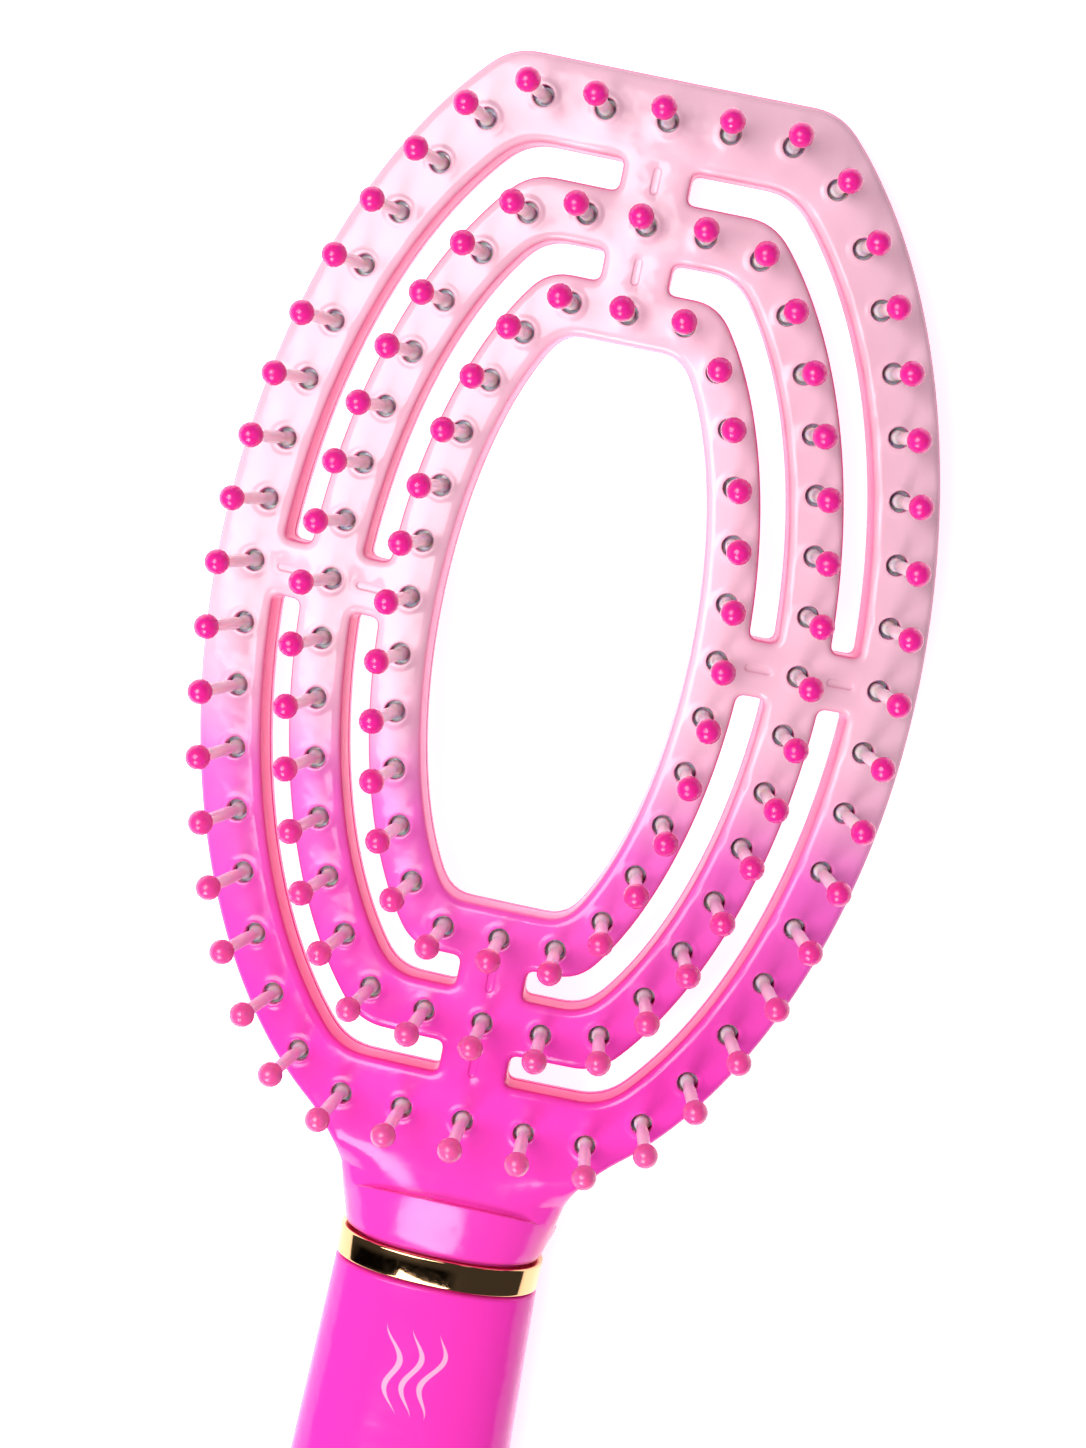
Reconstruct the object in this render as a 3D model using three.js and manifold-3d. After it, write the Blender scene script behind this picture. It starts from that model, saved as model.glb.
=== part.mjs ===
// Vented detangling brush: a domed head of three joined oval rings, set with ball-tipped pins
// on sprung strips, on an oval handle with a polished collar. Millimetres.
// The brush lies on its back: X across, Y along it towards the tip, Z up towards the pins.
// It is laid out from the top of the collar (y = 0) and the middle of the face (z = 0), and is
// moved at the end so that the origin is the middle of the bottom of its box.

import * as THREE from 'three';
import { mergeVertices } from 'three/addons/utils/BufferGeometryUtils.js';
import Module from 'manifold-3d';

const wasm = await Module();
wasm.setup();

// Gap left between pieces that touch on the real brush.
const GAP = 0.3;

// Points closer than this are one point.
const WELD_DISTANCE = 1e-4;

// Dome of the head: radius of the face across the brush and along it.
const DOME_ACROSS = 194;
const DOME_ALONG = 740;
const HEAD_MIDDLE = 75.2;

// Edges of the rings: each is an ellipse, `wide` to each side, cut flat at `tall` above and
// below the middle of the head. The ellipse would reach ELLIPSE_REACH times further than that.
// The outermost edge is fuller at its lower end, `low`, where it runs into the neck.
const ELLIPSE_REACH = 1.125;
const CORNER_ROUND = 2.4;
const RINGS = {
  outer: {
    outside: { wide: 40.7, tall: 62.1, low: { tall: 63.6, reach: 66 / 63.6 } },
    inside: { wide: 33.4, tall: 52.5 },
    pinLine: { wide: 36.1, tall: 57.4 },
    pinsPerQuarter: 11,
  },
  middle: {
    outside: { wide: 30.1, tall: 48.9 },
    inside: { wide: 24.0, tall: 42.3 },
    pinLine: { wide: 26.9, tall: 45.7 },
    pinsPerQuarter: 9,
  },
  inner: {
    outside: { wide: 20.8, tall: 38.8 },
    inside: { wide: 14.7, tall: 32.4 },
    pinLine: { wide: 17.7, tall: 35.8 },
    pinsPerQuarter: 7,
  },
};

// Depths below the face, all measured along the dome's normal.
const HEAD_THICKNESS = 6.2;
const FACE_PLATE = 1.3;
const SPLIT_DEPTH = 4.4;
const WALL = 1.0;
const EDGE_ROUND = 0.6;
const BACK_TOP = SPLIT_DEPTH + GAP;
const STRIP_TOP = FACE_PLATE + GAP;
const STRIP_THICKNESS = 0.8;
const STRIP_BOTTOM = STRIP_TOP + STRIP_THICKNESS;
const PAD_TOP = STRIP_BOTTOM + GAP;
const PAD_BOTTOM = SPLIT_DEPTH;
const STRIP_HALF_WIDTH = 1.15;
const STRIP_OVERHANG = 2.5;
const STRIP_FLAT = 1.15;

// Pins. Their lengths are measured out from the face.
const PIN_SIDES = 5;
const PIN_ROOT_RADIUS = 1.0;
const PIN_NECK_RADIUS = 0.62;
const BALL_RADIUS = 1.375;
const BALL_CENTRE = 13;
const HOLE_RADIUS = 1.6;
const HOLE_CUTTER_REACH = 3.5;

// Spokes that join the rings, with a shallow groove on the face and a peg socket behind.
const SPOKE_HALF_WIDTH_ENDS = 3.9;
const SPOKE_HALF_WIDTH_SIDES = 3.2;
const SPOKE_BITE = 0.5;
const SPOKE_SINK = 0.2;
const GROOVE_LENGTH = 3.0;
const GROOVE_HALF_WIDTH = 0.4;
const GROOVE_DEPTH = 0.4;
const PEG_SIDES = 6;
const PEG_RADIUS = 0.9;
const PEG_TOP = 2.8;
const SOCKET_RADIUS = PEG_RADIUS + GAP + 0.1;
const SOCKET_TOP = 2.3;

// Neck, collar and handle: half sizes of oval sections. `mid` is the height of the middle.
const COLLAR_LENGTH = 3.4;
const COLLAR_TOP = 1.0;
const COLLAR_BOTTOM = COLLAR_TOP - COLLAR_LENGTH;
const GRIP_MID = -8.1;
const OVAL_POWER = 2.3;
const OVAL_SIDES = 28;
const COLLAR_OUTSIDE = { halfWide: 12.0, halfDeep: 8.2 };
const COLLAR_INSIDE = { halfWide: 10.9, halfDeep: 7.1 };
const COLLAR_EDGE = 0.35;
const TANG = { halfWide: 6.5, halfDeep: 3.8 };
const TANG_END = -34;
const SCREW_RADIUS = 1.35;
const SCREW_HEAD_RADIUS = 3;
const SCREW_HEAD_LENGTH = 2.2;
const SCREW_TIP = -26;
const SCREW_SIDES = 12;
const WEB_TOP = TANG_END - GAP;
const WEB_BOTTOM = WEB_TOP - 5;
const HANDLE_TOP = COLLAR_BOTTOM - GAP;
const HANDLE_END = -107;
const HANDLE_WALL = 2.2;
const CAP_TOP = HANDLE_END - GAP;
const CAP_END = -113;
const CAP_PLUG_TOP = HANDLE_END + 6;
const HANDLE_SAG = 2.4;

// ---------------------------------------------------------------- shaping helpers

// Height of the face below its middle, and the direction square to it.
function faceHeight(x, y) {
  return -(x * x) / (2 * DOME_ACROSS) - (y * y) / (2 * DOME_ALONG);
}

function faceNormal(x, y) {
  return new THREE.Vector3(x / DOME_ACROSS, y / DOME_ALONG, 1).normalize();
}

// A point at the given depth under the face, square to it.
function underFace(x, y, depth) {
  const point = new THREE.Vector3(x, y, faceHeight(x, y));
  return point.addScaledVector(faceNormal(x, y), -depth);
}

// The smaller of two lengths, with the corner between them rounded off.
function roundedSmaller(first, second, round) {
  const blend = Math.max(round - Math.abs(first - second), 0);
  return Math.min(first, second) - (blend * blend) / (4 * round);
}

// Point of a ring's edge at an angle: an ellipse with flat ends and rounded corners.
function edgePoint(edge, angle) {
  const isLow = Math.sin(angle) < 0;
  const { tall, reach = ELLIPSE_REACH } = (isLow && edge.low) || edge;
  const rise = roundedSmaller(tall * reach * Math.abs(Math.sin(angle)), tall, CORNER_ROUND);
  return new THREE.Vector2(edge.wide * Math.cos(angle), HEAD_MIDDLE + (isLow ? -rise : rise));
}

// A three.js geometry as a solid, turned the right way out.
function solid(geometry) {
  geometry.deleteAttribute('uv');
  geometry.deleteAttribute('normal');
  const welded = mergeVertices(geometry, WELD_DISTANCE);
  const points = welded.getAttribute('position').array;
  const triangles = Array.from(welded.index.array);
  if (signedVolume(points, triangles) < 0) triangles.reverse();
  const mesh = new wasm.Mesh({
    numProp: 3,
    vertProperties: new Float32Array(points),
    triVerts: new Uint32Array(triangles.filter((corner, place) => keepsArea(triangles, place))),
  });
  return new wasm.Manifold(mesh);
}

// False for the corners of a triangle that welding has drawn to a line.
function keepsArea(triangles, place) {
  const start = place - (place % 3);
  const [a, b, c] = triangles.slice(start, start + 3);
  return a !== b && b !== c && a !== c;
}

function signedVolume(points, triangles) {
  const corner = [new THREE.Vector3(), new THREE.Vector3(), new THREE.Vector3()];
  let volume = 0;
  for (let start = 0; start < triangles.length; start += 3) {
    corner.forEach((vector, side) => vector.fromArray(points, 3 * triangles[start + side]));
    volume += corner[0].dot(corner[1].clone().cross(corner[2])) / 6;
  }
  return volume;
}

function geometryOf(body) {
  const mesh = body.getMesh();
  const geometry = new THREE.BufferGeometry();
  const points = new Float32Array(mesh.numVert * 3);
  for (let vertex = 0; vertex < mesh.numVert; vertex += 1) {
    const start = vertex * mesh.numProp;
    points.set(mesh.vertProperties.subarray(start, start + 3), 3 * vertex);
  }
  geometry.setAttribute('position', new THREE.BufferAttribute(points, 3));
  geometry.setIndex(new THREE.BufferAttribute(new Uint32Array(mesh.triVerts), 1));
  return geometry;
}

function joined(bodies) {
  return bodies.reduce((whole, body) => whole.add(body));
}

// A closed hoop: place(step, corner) puts each corner of the section at each step round.
function hoop(steps, corners, place) {
  const sheet = new THREE.PlaneGeometry(1, 1, steps, corners);
  const position = sheet.getAttribute('position');
  for (let index = 0; index < position.count; index += 1) {
    const step = (index % (steps + 1)) % steps;
    const corner = Math.floor(index / (steps + 1)) % corners;
    position.setXYZ(index, ...place(step, corner));
  }
  return solid(sheet);
}

// A bar with closed ends: place(row, side) gives its rim, and place(row, null) an end's middle.
function bar(rows, sides, place) {
  const cylinder = new THREE.CylinderGeometry(1, 1, 1, sides, rows - 1);
  const position = cylinder.getAttribute('position');
  const point = new THREE.Vector3();
  for (let index = 0; index < position.count; index += 1) {
    point.fromBufferAttribute(position, index);
    const row = Math.round((0.5 - point.y) * (rows - 1));
    const atRim = Math.hypot(point.x, point.z) > 0.5;
    const turn = Math.round((Math.atan2(point.x, point.z) / (2 * Math.PI)) * sides);
    position.setXYZ(index, ...place(row, atRim ? (turn + sides) % sides : null));
  }
  return solid(cylinder);
}

// A six-sided hole cutter through the face at x, y, square to it. It is a long eight-faced body,
// so its section is a hexagon of the given radius near the face and runs out to three corners.
function holeCutter(x, y, radius) {
  const cornerRadius = radius / Math.cos(Math.PI / 6);
  return bar(2, 3, (row, side) => {
    const depth = HOLE_CUTTER_REACH * (row ? 1 : -1) + FACE_PLATE / 2;
    const angle = side === null ? 0 : ((side + row / 2) / 3) * 2 * Math.PI;
    const reach = side === null ? 0 : cornerRadius;
    return underFace(x + reach * Math.cos(angle), y + reach * Math.sin(angle), depth);
  });
}

// A turned piece standing on the face at x, y: the profile is [radius, height above the face].
// One of its edges looks the way of `facing`, an angle on the face.
function turnedOnFace(x, y, profile, sides, facing = 0) {
  const points = profile.map(([radius, height]) => new THREE.Vector2(radius, height));
  const lathe = new THREE.LatheGeometry(points, sides, facing + Math.PI / 2);
  const upright = new THREE.Vector3(0, 1, 0);
  lathe.applyQuaternion(new THREE.Quaternion().setFromUnitVectors(upright, faceNormal(x, y)));
  lathe.translate(x, y, faceHeight(x, y));
  return solid(lathe);
}

// ---------------------------------------------------------------- rings and their pins

// The line that a ring's pins stand on, clockwise from the top of the head.
class PinLine extends THREE.Curve {
  constructor(ring) {
    super();
    this.edge = ring.pinLine;
    this.count = 4 * ring.pinsPerQuarter;
    this.arcLengthDivisions = 720;
  }

  angle(turn) {
    return Math.PI / 2 - 2 * Math.PI * turn;
  }

  getPoint(turn) {
    return edgePoint(this.edge, this.angle(turn));
  }

  // Place of a pin, counted along the line; a half is the place midway to the next pin.
  pinPlace(pin) {
    return this.getPointAt((((pin / this.count) % 1) + 1) % 1);
  }

  // Place of a pin and the way that the line runs there.
  pinStand(pin) {
    const ahead = this.pinPlace(pin + 0.1).sub(this.pinPlace(pin - 0.1)).normalize();
    return { point: this.pinPlace(pin), ahead };
  }

  pinAngle(pin) {
    return this.angle(this.getUtoTmapping(pin / this.count));
  }
}

const PIN_LINES = Object.fromEntries(
  Object.entries(RINGS).map(([name, ring]) => [name, new PinLine(ring)]),
);

// A ring of the head, swept round its two edges with a step midway between each two pins. A
// corner of the section is [edge 0 inside or 1 outside, distance in from it, depth under the face].
function ringBody(name, section) {
  const ring = RINGS[name];
  const line = PIN_LINES[name];
  return hoop(line.count, section.length, (step, corner) => {
    const angle = line.pinAngle(step + 0.5);
    const inside = edgePoint(ring.inside, angle);
    const outside = edgePoint(ring.outside, angle);
    const across = outside.clone().sub(inside).normalize();
    const [edge, inset, depth] = section[corner];
    const point = edge ? outside.addScaledVector(across, -inset) : inside.addScaledVector(across, inset);
    return underFace(point.x, point.y, depth);
  });
}

// The channel of the face frame: a plate with two walls and eased edges.
const CHANNEL_SECTION = [
  [0, 0, SPLIT_DEPTH],
  [0, 0, EDGE_ROUND],
  [0, EDGE_ROUND, 0],
  [1, EDGE_ROUND, 0],
  [1, 0, EDGE_ROUND],
  [1, 0, SPLIT_DEPTH],
  [1, WALL, SPLIT_DEPTH],
  [1, WALL, FACE_PLATE],
  [0, WALL, FACE_PLATE],
  [0, WALL, SPLIT_DEPTH],
];

// The flat band of the back frame, eased along its lower edges.
const BACK_SECTION = [
  [0, 0, BACK_TOP],
  [1, 0, BACK_TOP],
  [1, 0, HEAD_THICKNESS - EDGE_ROUND],
  [1, EDGE_ROUND, HEAD_THICKNESS],
  [0, EDGE_ROUND, HEAD_THICKNESS],
  [0, 0, HEAD_THICKNESS - EDGE_ROUND],
];

// Quarter strips start with the pin at 12, 3, 6 and 9 o'clock.
const QUARTERS = ['upper_right', 'lower_right', 'lower_left', 'upper_left'];

// A bar that follows one quarter of a pin line, between two depths under the face. It has a flat
// stretch, square to the pin, at each pin.
function quarterBar(name, quarter, top, bottom) {
  const line = PIN_LINES[name];
  const count = RINGS[name].pinsPerQuarter;
  const rows = Array.from({ length: count }, (_, pin) => [
    { pin, reach: pin === 0 ? -STRIP_OVERHANG : -STRIP_FLAT },
    { pin, reach: pin === count - 1 ? STRIP_OVERHANG : STRIP_FLAT },
  ]).flat();
  const corners = [[-1, top], [1, top], [1, bottom], [-1, bottom]];
  return bar(rows.length, corners.length, (row, side) => {
    const { pin, reach } = rows[row];
    const { point, ahead } = line.pinStand(quarter * count + pin);
    const normal = faceNormal(point.x, point.y);
    const along = new THREE.Vector3(ahead.x, ahead.y, 0).projectOnPlane(normal).normalize();
    const across = normal.clone().cross(along);
    const [way, depth] = side === null ? [0, (top + bottom) / 2] : corners[side];
    return underFace(point.x, point.y, depth)
      .addScaledVector(along, reach)
      .addScaledVector(across, way * STRIP_HALF_WIDTH);
  });
}

// Places of the pins of one quarter, and the way that the line runs at each.
function quarterPins(name, quarter) {
  const count = RINGS[name].pinsPerQuarter;
  return Array.from({ length: count }, (_, pin) => PIN_LINES[name].pinStand(quarter * count + pin));
}

// One moulding: a thin strip and the pins that stand up through the holes of the face.
function pinStrip(name, quarter) {
  const strip = quarterBar(name, quarter, STRIP_TOP, STRIP_BOTTOM);
  const rootDepth = STRIP_TOP + STRIP_THICKNESS / 2;
  const profile = [
    [0, -rootDepth],
    [PIN_ROOT_RADIUS, -rootDepth],
    [PIN_NECK_RADIUS, BALL_CENTRE - BALL_RADIUS * 0.85],
    [BALL_RADIUS, BALL_CENTRE],
    [0, BALL_CENTRE + BALL_RADIUS],
  ];
  const pins = quarterPins(name, quarter).map(({ point, ahead }) => (
    turnedOnFace(point.x, point.y, profile, PIN_SIDES, ahead.angle())
  ));
  return joined([strip, ...pins]);
}

// ---------------------------------------------------------------- spokes

// The eight spokes: each spans from one ring's outside edge to the next ring's inside edge.
function spokes() {
  const gaps = [[RINGS.inner, RINGS.middle], [RINGS.middle, RINGS.outer]];
  return gaps.flatMap(([small, large]) => [0, 1, 2, 3].map((quarter) => {
    const angle = (quarter * Math.PI) / 2;
    const start = edgePoint(small.outside, angle);
    const end = edgePoint(large.inside, angle);
    const along = end.clone().sub(start).normalize();
    const halfWidth = quarter % 2 ? SPOKE_HALF_WIDTH_ENDS : SPOKE_HALF_WIDTH_SIDES;
    return { start, end, along, halfWidth, middle: start.clone().add(end).multiplyScalar(0.5) };
  }));
}

// A block that runs along a spoke between two depths under the face.
function spokeBlock(spoke, reach, halfWidth, top, bottom) {
  const corners = [[-1, top], [1, top], [1, bottom], [-1, bottom]];
  return bar(2, corners.length, (row, side) => {
    const distance = (row ? 1 : -1) * reach;
    const point = spoke.middle.clone().addScaledVector(spoke.along, distance);
    if (side === null) return underFace(point.x, point.y, (top + bottom) / 2);
    const [way, depth] = corners[side];
    const x = point.x - spoke.along.y * way * halfWidth;
    const y = point.y + spoke.along.x * way * halfWidth;
    return underFace(x, y, depth);
  });
}

function wholeSpoke(spoke, top, bottom) {
  const reach = spoke.start.distanceTo(spoke.end) / 2 + SPOKE_BITE;
  return spokeBlock(spoke, reach, spoke.halfWidth, top, bottom);
}

function peg(spoke, radius, top, bottom) {
  const profile = [[0, -bottom], [radius, -bottom], [radius, -top], [0, -top]];
  return turnedOnFace(spoke.middle.x, spoke.middle.y, profile, PEG_SIDES);
}

// ---------------------------------------------------------------- neck, collar and handle

// A loft of oval sections along Y. Each is { y, halfWide, halfDeep, mid, power }.
function ovalBody(sections, sides = OVAL_SIDES) {
  return bar(sections.length, sides, (row, side) => {
    const { y, halfWide, halfDeep, mid = GRIP_MID, power = OVAL_POWER } = sections[row];
    if (side === null) return new THREE.Vector3(0, y, mid);
    const angle = (side / sides) * 2 * Math.PI;
    const bulge = (part) => Math.sign(part) * Math.abs(part) ** (2 / power);
    return new THREE.Vector3(halfWide * bulge(Math.cos(angle)), y, mid + halfDeep * bulge(Math.sin(angle)));
  });
}

// Neck: it grows out of the outer ring's lower wall and swells to the oval of the collar.
function neckBody() {
  const base = HEAD_MIDDLE - RINGS.outer.outside.low.tall;
  const slab = (y, halfWide, top, bottom, power) => (
    { y, halfWide, halfDeep: (bottom - top) / 2, mid: -(top + bottom) / 2, power }
  );
  return ovalBody([
    slab(base + 2.4, 14.6, 0.5, SPLIT_DEPTH - 0.2, 8),
    slab(base - GAP, 14.2, 0.25, SPLIT_DEPTH - 0.1, 7),
    slab(base - GAP - 0.1, 14.1, 0.2, HEAD_THICKNESS, 6),
    slab(base - 2.0, 13.4, 0.15, 7.9, 5),
    slab(base - 4.4, 12.9, 0.15, 10.9, 4),
    slab(base - 6.4, 12.5, 0.1, 13.7, 3),
    slab(COLLAR_TOP + 2.9, 12.3, 0.05, 15.5, 2.6),
    slab(COLLAR_TOP + 1.6, 12.0, 0.05, 16.0, OVAL_POWER),
    slab(COLLAR_TOP + GAP, 11.6, 0.4, 15.8, OVAL_POWER),
  ]);
}

// Spigot that fills the collar, and the tang below it that goes into the handle.
function tangBody() {
  const spigot = { halfWide: COLLAR_INSIDE.halfWide - GAP, halfDeep: COLLAR_INSIDE.halfDeep - GAP };
  const throughCollar = ovalBody([{ y: COLLAR_TOP + 1, ...spigot }, { y: COLLAR_BOTTOM, ...spigot }]);
  const tang = ovalBody([{ y: 0, ...TANG, power: 5 }, { y: TANG_END, ...TANG, power: 5 }], 16);
  return throughCollar.add(tang);
}

// A round bar along Y on the axis of the tang.
function roundBar(radius, from, to) {
  const end = { halfWide: radius, halfDeep: radius, power: 2 };
  return ovalBody([{ y: from, ...end }, { y: to, ...end }], SCREW_SIDES);
}

// Half sizes of the handle along its length, and how far its middle drops to the end.
const GRIP_STATIONS = [
  { y: HANDLE_TOP, halfWide: 11.7, halfDeep: 7.9 },
  { y: HANDLE_TOP - 0.6, halfWide: 11.9, halfDeep: 8.1 },
  { y: -12, halfWide: 12.2, halfDeep: 8.4 },
  { y: -26, halfWide: 12.7, halfDeep: 8.8 },
  { y: -42, halfWide: 13.2, halfDeep: 9.1 },
  { y: -60, halfWide: 13.5, halfDeep: 9.2 },
  { y: -78, halfWide: 13.3, halfDeep: 9.0 },
  { y: -94, halfWide: 12.6, halfDeep: 8.5 },
  { y: HANDLE_END, halfWide: 11.6, halfDeep: 7.9 },
];

function gripMid(y) {
  const share = Math.max(HANDLE_TOP - y, 0) / (HANDLE_TOP - CAP_END);
  return GRIP_MID - HANDLE_SAG * share * share;
}

function handleShell() {
  const outside = ovalBody(GRIP_STATIONS.map((station) => ({ ...station, mid: gripMid(station.y) })));
  const hollow = [WEB_BOTTOM, -60, -78, -94, HANDLE_END - 1].map((y) => {
    const near = GRIP_STATIONS.reduce((best, station) => (
      Math.abs(station.y - y) < Math.abs(best.y - y) ? station : best
    ));
    return {
      y,
      halfWide: near.halfWide - HANDLE_WALL,
      halfDeep: near.halfDeep - HANDLE_WALL,
      mid: gripMid(y),
    };
  });
  const socketSize = { halfWide: TANG.halfWide + GAP, halfDeep: TANG.halfDeep + GAP, power: 5 };
  const socket = ovalBody([{ y: HANDLE_TOP + 1, ...socketSize }, { y: WEB_TOP, ...socketSize }], 16);
  const screwWay = roundBar(SCREW_RADIUS + GAP, WEB_TOP + 1, WEB_BOTTOM - 1);
  return outside.subtract(ovalBody(hollow, 20)).subtract(socket).subtract(screwWay);
}

function endCap() {
  const dome = ovalBody([
    { y: CAP_TOP, halfWide: 11.5, halfDeep: 7.8, mid: gripMid(CAP_TOP) },
    { y: CAP_TOP - 2.2, halfWide: 10.9, halfDeep: 7.3, mid: gripMid(CAP_TOP - 2.2) },
    { y: CAP_TOP - 4.2, halfWide: 9.4, halfDeep: 6.0, mid: gripMid(CAP_TOP - 4.2) },
    { y: CAP_END, halfWide: 7.2, halfDeep: 4.2, mid: gripMid(CAP_END) },
  ]);
  const last = GRIP_STATIONS.at(-1);
  const plugSize = {
    halfWide: last.halfWide - HANDLE_WALL - GAP,
    halfDeep: last.halfDeep - HANDLE_WALL - GAP,
  };
  const plug = ovalBody([
    { y: CAP_PLUG_TOP, ...plugSize, mid: gripMid(CAP_PLUG_TOP) },
    { y: CAP_TOP - 1, ...plugSize, mid: gripMid(CAP_TOP) },
  ], 20);
  return dome.add(plug);
}

function collarBody() {
  const { halfWide, halfDeep } = COLLAR_OUTSIDE;
  const eased = { halfWide: halfWide - COLLAR_EDGE, halfDeep: halfDeep - COLLAR_EDGE };
  const band = ovalBody([
    { y: COLLAR_TOP, ...eased },
    { y: COLLAR_TOP - COLLAR_EDGE, ...COLLAR_OUTSIDE },
    { y: COLLAR_BOTTOM + COLLAR_EDGE, ...COLLAR_OUTSIDE },
    { y: COLLAR_BOTTOM, ...eased },
  ]);
  const bore = ovalBody([
    { y: COLLAR_TOP + 1, ...COLLAR_INSIDE },
    { y: COLLAR_BOTTOM - 1, ...COLLAR_INSIDE },
  ]);
  return band.subtract(bore);
}

function tangScrew() {
  const shank = roundBar(SCREW_RADIUS, SCREW_TIP - GAP, WEB_BOTTOM - 1);
  const head = roundBar(SCREW_HEAD_RADIUS, WEB_BOTTOM - GAP, WEB_BOTTOM - GAP - SCREW_HEAD_LENGTH);
  return shank.add(head);
}

// ---------------------------------------------------------------- the two frames of the head

function faceFrame() {
  const rings = Object.keys(RINGS).map((name) => ringBody(name, CHANNEL_SECTION));
  const bridges = spokes().map((spoke) => wholeSpoke(spoke, SPOKE_SINK, SPLIT_DEPTH - 0.1));
  const body = joined([...rings, ...bridges, neckBody(), tangBody()]);
  const holes = Object.keys(RINGS)
    .flatMap((name) => QUARTERS.flatMap((_, quarter) => quarterPins(name, quarter)))
    .map(({ point }) => holeCutter(point.x, point.y, HOLE_RADIUS));
  const sockets = spokes().map((spoke) => peg(spoke, SOCKET_RADIUS, SOCKET_TOP, SPLIT_DEPTH + 1));
  const grooves = spokes().map((spoke) => (
    spokeBlock(spoke, GROOVE_LENGTH / 2, GROOVE_HALF_WIDTH, -1, SPOKE_SINK + GROOVE_DEPTH)
  ));
  const screwBore = roundBar(SCREW_RADIUS + GAP, SCREW_TIP, TANG_END - 1);
  return body.subtract(joined(holes)).subtract(joined([...sockets, ...grooves, screwBore]));
}

function backFrame() {
  const rings = Object.keys(RINGS).map((name) => ringBody(name, BACK_SECTION));
  const bridges = spokes().map((spoke) => wholeSpoke(spoke, BACK_TOP + 0.1, HEAD_THICKNESS - SPOKE_SINK));
  const pegs = spokes().map((spoke) => peg(spoke, PEG_RADIUS, PEG_TOP, BACK_TOP + 0.5));
  return joined([...rings, ...bridges, ...pegs]);
}

// ---------------------------------------------------------------- the assembly

const finishes = {
  shell: { color: 0xff7fc8, roughness: 0.28, metalness: 0 },
  grip: { color: 0xff45b8, roughness: 0.22, metalness: 0 },
  pins: { color: 0xffd3e2, roughness: 0.35, metalness: 0 },
  pad: { color: 0xe9e6ea, roughness: 0.9, metalness: 0 },
  gold: { color: 0xd9a441, roughness: 0.12, metalness: 1 },
  steel: { color: 0xb9bcc2, roughness: 0.3, metalness: 1 },
};

const brush = new THREE.Group();

function addPiece(name, body, finish) {
  const piece = new THREE.Mesh(geometryOf(body), new THREE.MeshStandardMaterial(finishes[finish]));
  piece.name = name;
  brush.add(piece);
}

addPiece('face_frame', faceFrame(), 'shell');
addPiece('back_frame', backFrame(), 'shell');
addPiece('collar', collarBody(), 'gold');
addPiece('handle_shell', handleShell(), 'grip');
addPiece('end_cap', endCap(), 'grip');
addPiece('tang_screw', tangScrew(), 'steel');

for (const name of Object.keys(RINGS)) {
  QUARTERS.forEach((label, quarter) => {
    addPiece(`${name}_pins_${label}`, pinStrip(name, quarter), 'pins');
    addPiece(`${name}_pad_${label}`, quarterBar(name, quarter, PAD_TOP, PAD_BOTTOM), 'pad');
  });
}

const box = new THREE.Box3().setFromObject(brush);
brush.position.set(0, -(box.min.y + box.max.y) / 2, -box.min.z);
brush.updateMatrixWorld(true);

export default brush;
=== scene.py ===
"""Vented detangling brush: the visible pieces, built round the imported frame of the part.

The brush lies on its back, pins up, tip along +Y. The head is laid out flat in millimetres,
from the top of the collar (y = 0) and the middle of the face (z = 0), and is then wrapped onto
the dome of the face and moved to the place that the frame gives.
"""

import math
from bisect import bisect_right

import bmesh
import bpy
from mathutils import Matrix, Vector
from mathutils.geometry import delaunay_2d_cdt
from mathutils.kdtree import KDTree


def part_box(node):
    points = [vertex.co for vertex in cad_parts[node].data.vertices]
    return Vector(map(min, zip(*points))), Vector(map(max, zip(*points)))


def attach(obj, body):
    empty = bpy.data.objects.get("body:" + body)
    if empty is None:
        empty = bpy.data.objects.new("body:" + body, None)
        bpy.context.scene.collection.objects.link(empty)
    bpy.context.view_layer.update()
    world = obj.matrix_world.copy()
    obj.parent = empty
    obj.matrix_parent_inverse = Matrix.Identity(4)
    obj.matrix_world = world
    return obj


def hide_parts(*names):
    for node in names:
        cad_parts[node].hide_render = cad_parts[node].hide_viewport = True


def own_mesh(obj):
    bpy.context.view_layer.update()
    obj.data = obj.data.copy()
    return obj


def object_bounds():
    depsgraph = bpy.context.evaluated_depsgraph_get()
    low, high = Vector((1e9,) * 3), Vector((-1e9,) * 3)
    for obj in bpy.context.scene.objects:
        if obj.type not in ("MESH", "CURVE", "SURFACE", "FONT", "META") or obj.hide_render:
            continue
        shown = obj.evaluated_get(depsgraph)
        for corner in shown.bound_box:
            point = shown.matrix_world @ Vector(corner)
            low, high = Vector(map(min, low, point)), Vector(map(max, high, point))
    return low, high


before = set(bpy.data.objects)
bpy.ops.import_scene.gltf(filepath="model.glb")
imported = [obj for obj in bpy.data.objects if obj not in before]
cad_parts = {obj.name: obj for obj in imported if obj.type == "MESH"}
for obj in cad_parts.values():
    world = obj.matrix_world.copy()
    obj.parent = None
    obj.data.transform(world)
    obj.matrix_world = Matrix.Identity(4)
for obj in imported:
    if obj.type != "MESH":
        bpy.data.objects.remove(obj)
CAD_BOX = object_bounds()

bl_info = {
    "name": "Vented Detangling Brush",
    "version": (1, 0, 0),
    "blender": (4, 5, 0),
    "location": "View3D > Sidebar > Brush",
    "description": "Builds the visible pieces of a vented detangling brush round its frame",
    "category": "Add Mesh",
}

MM = 0.001

# Dome of the head: radius of the face across the brush and along it.
DOME_ACROSS = 194
DOME_ALONG = 740
HEAD_MIDDLE = 75.2

# Edges of the rings: ellipses with flat ends and rounded corners.
ELLIPSE_REACH = 1.125
CORNER_ROUND = 2.4

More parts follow.
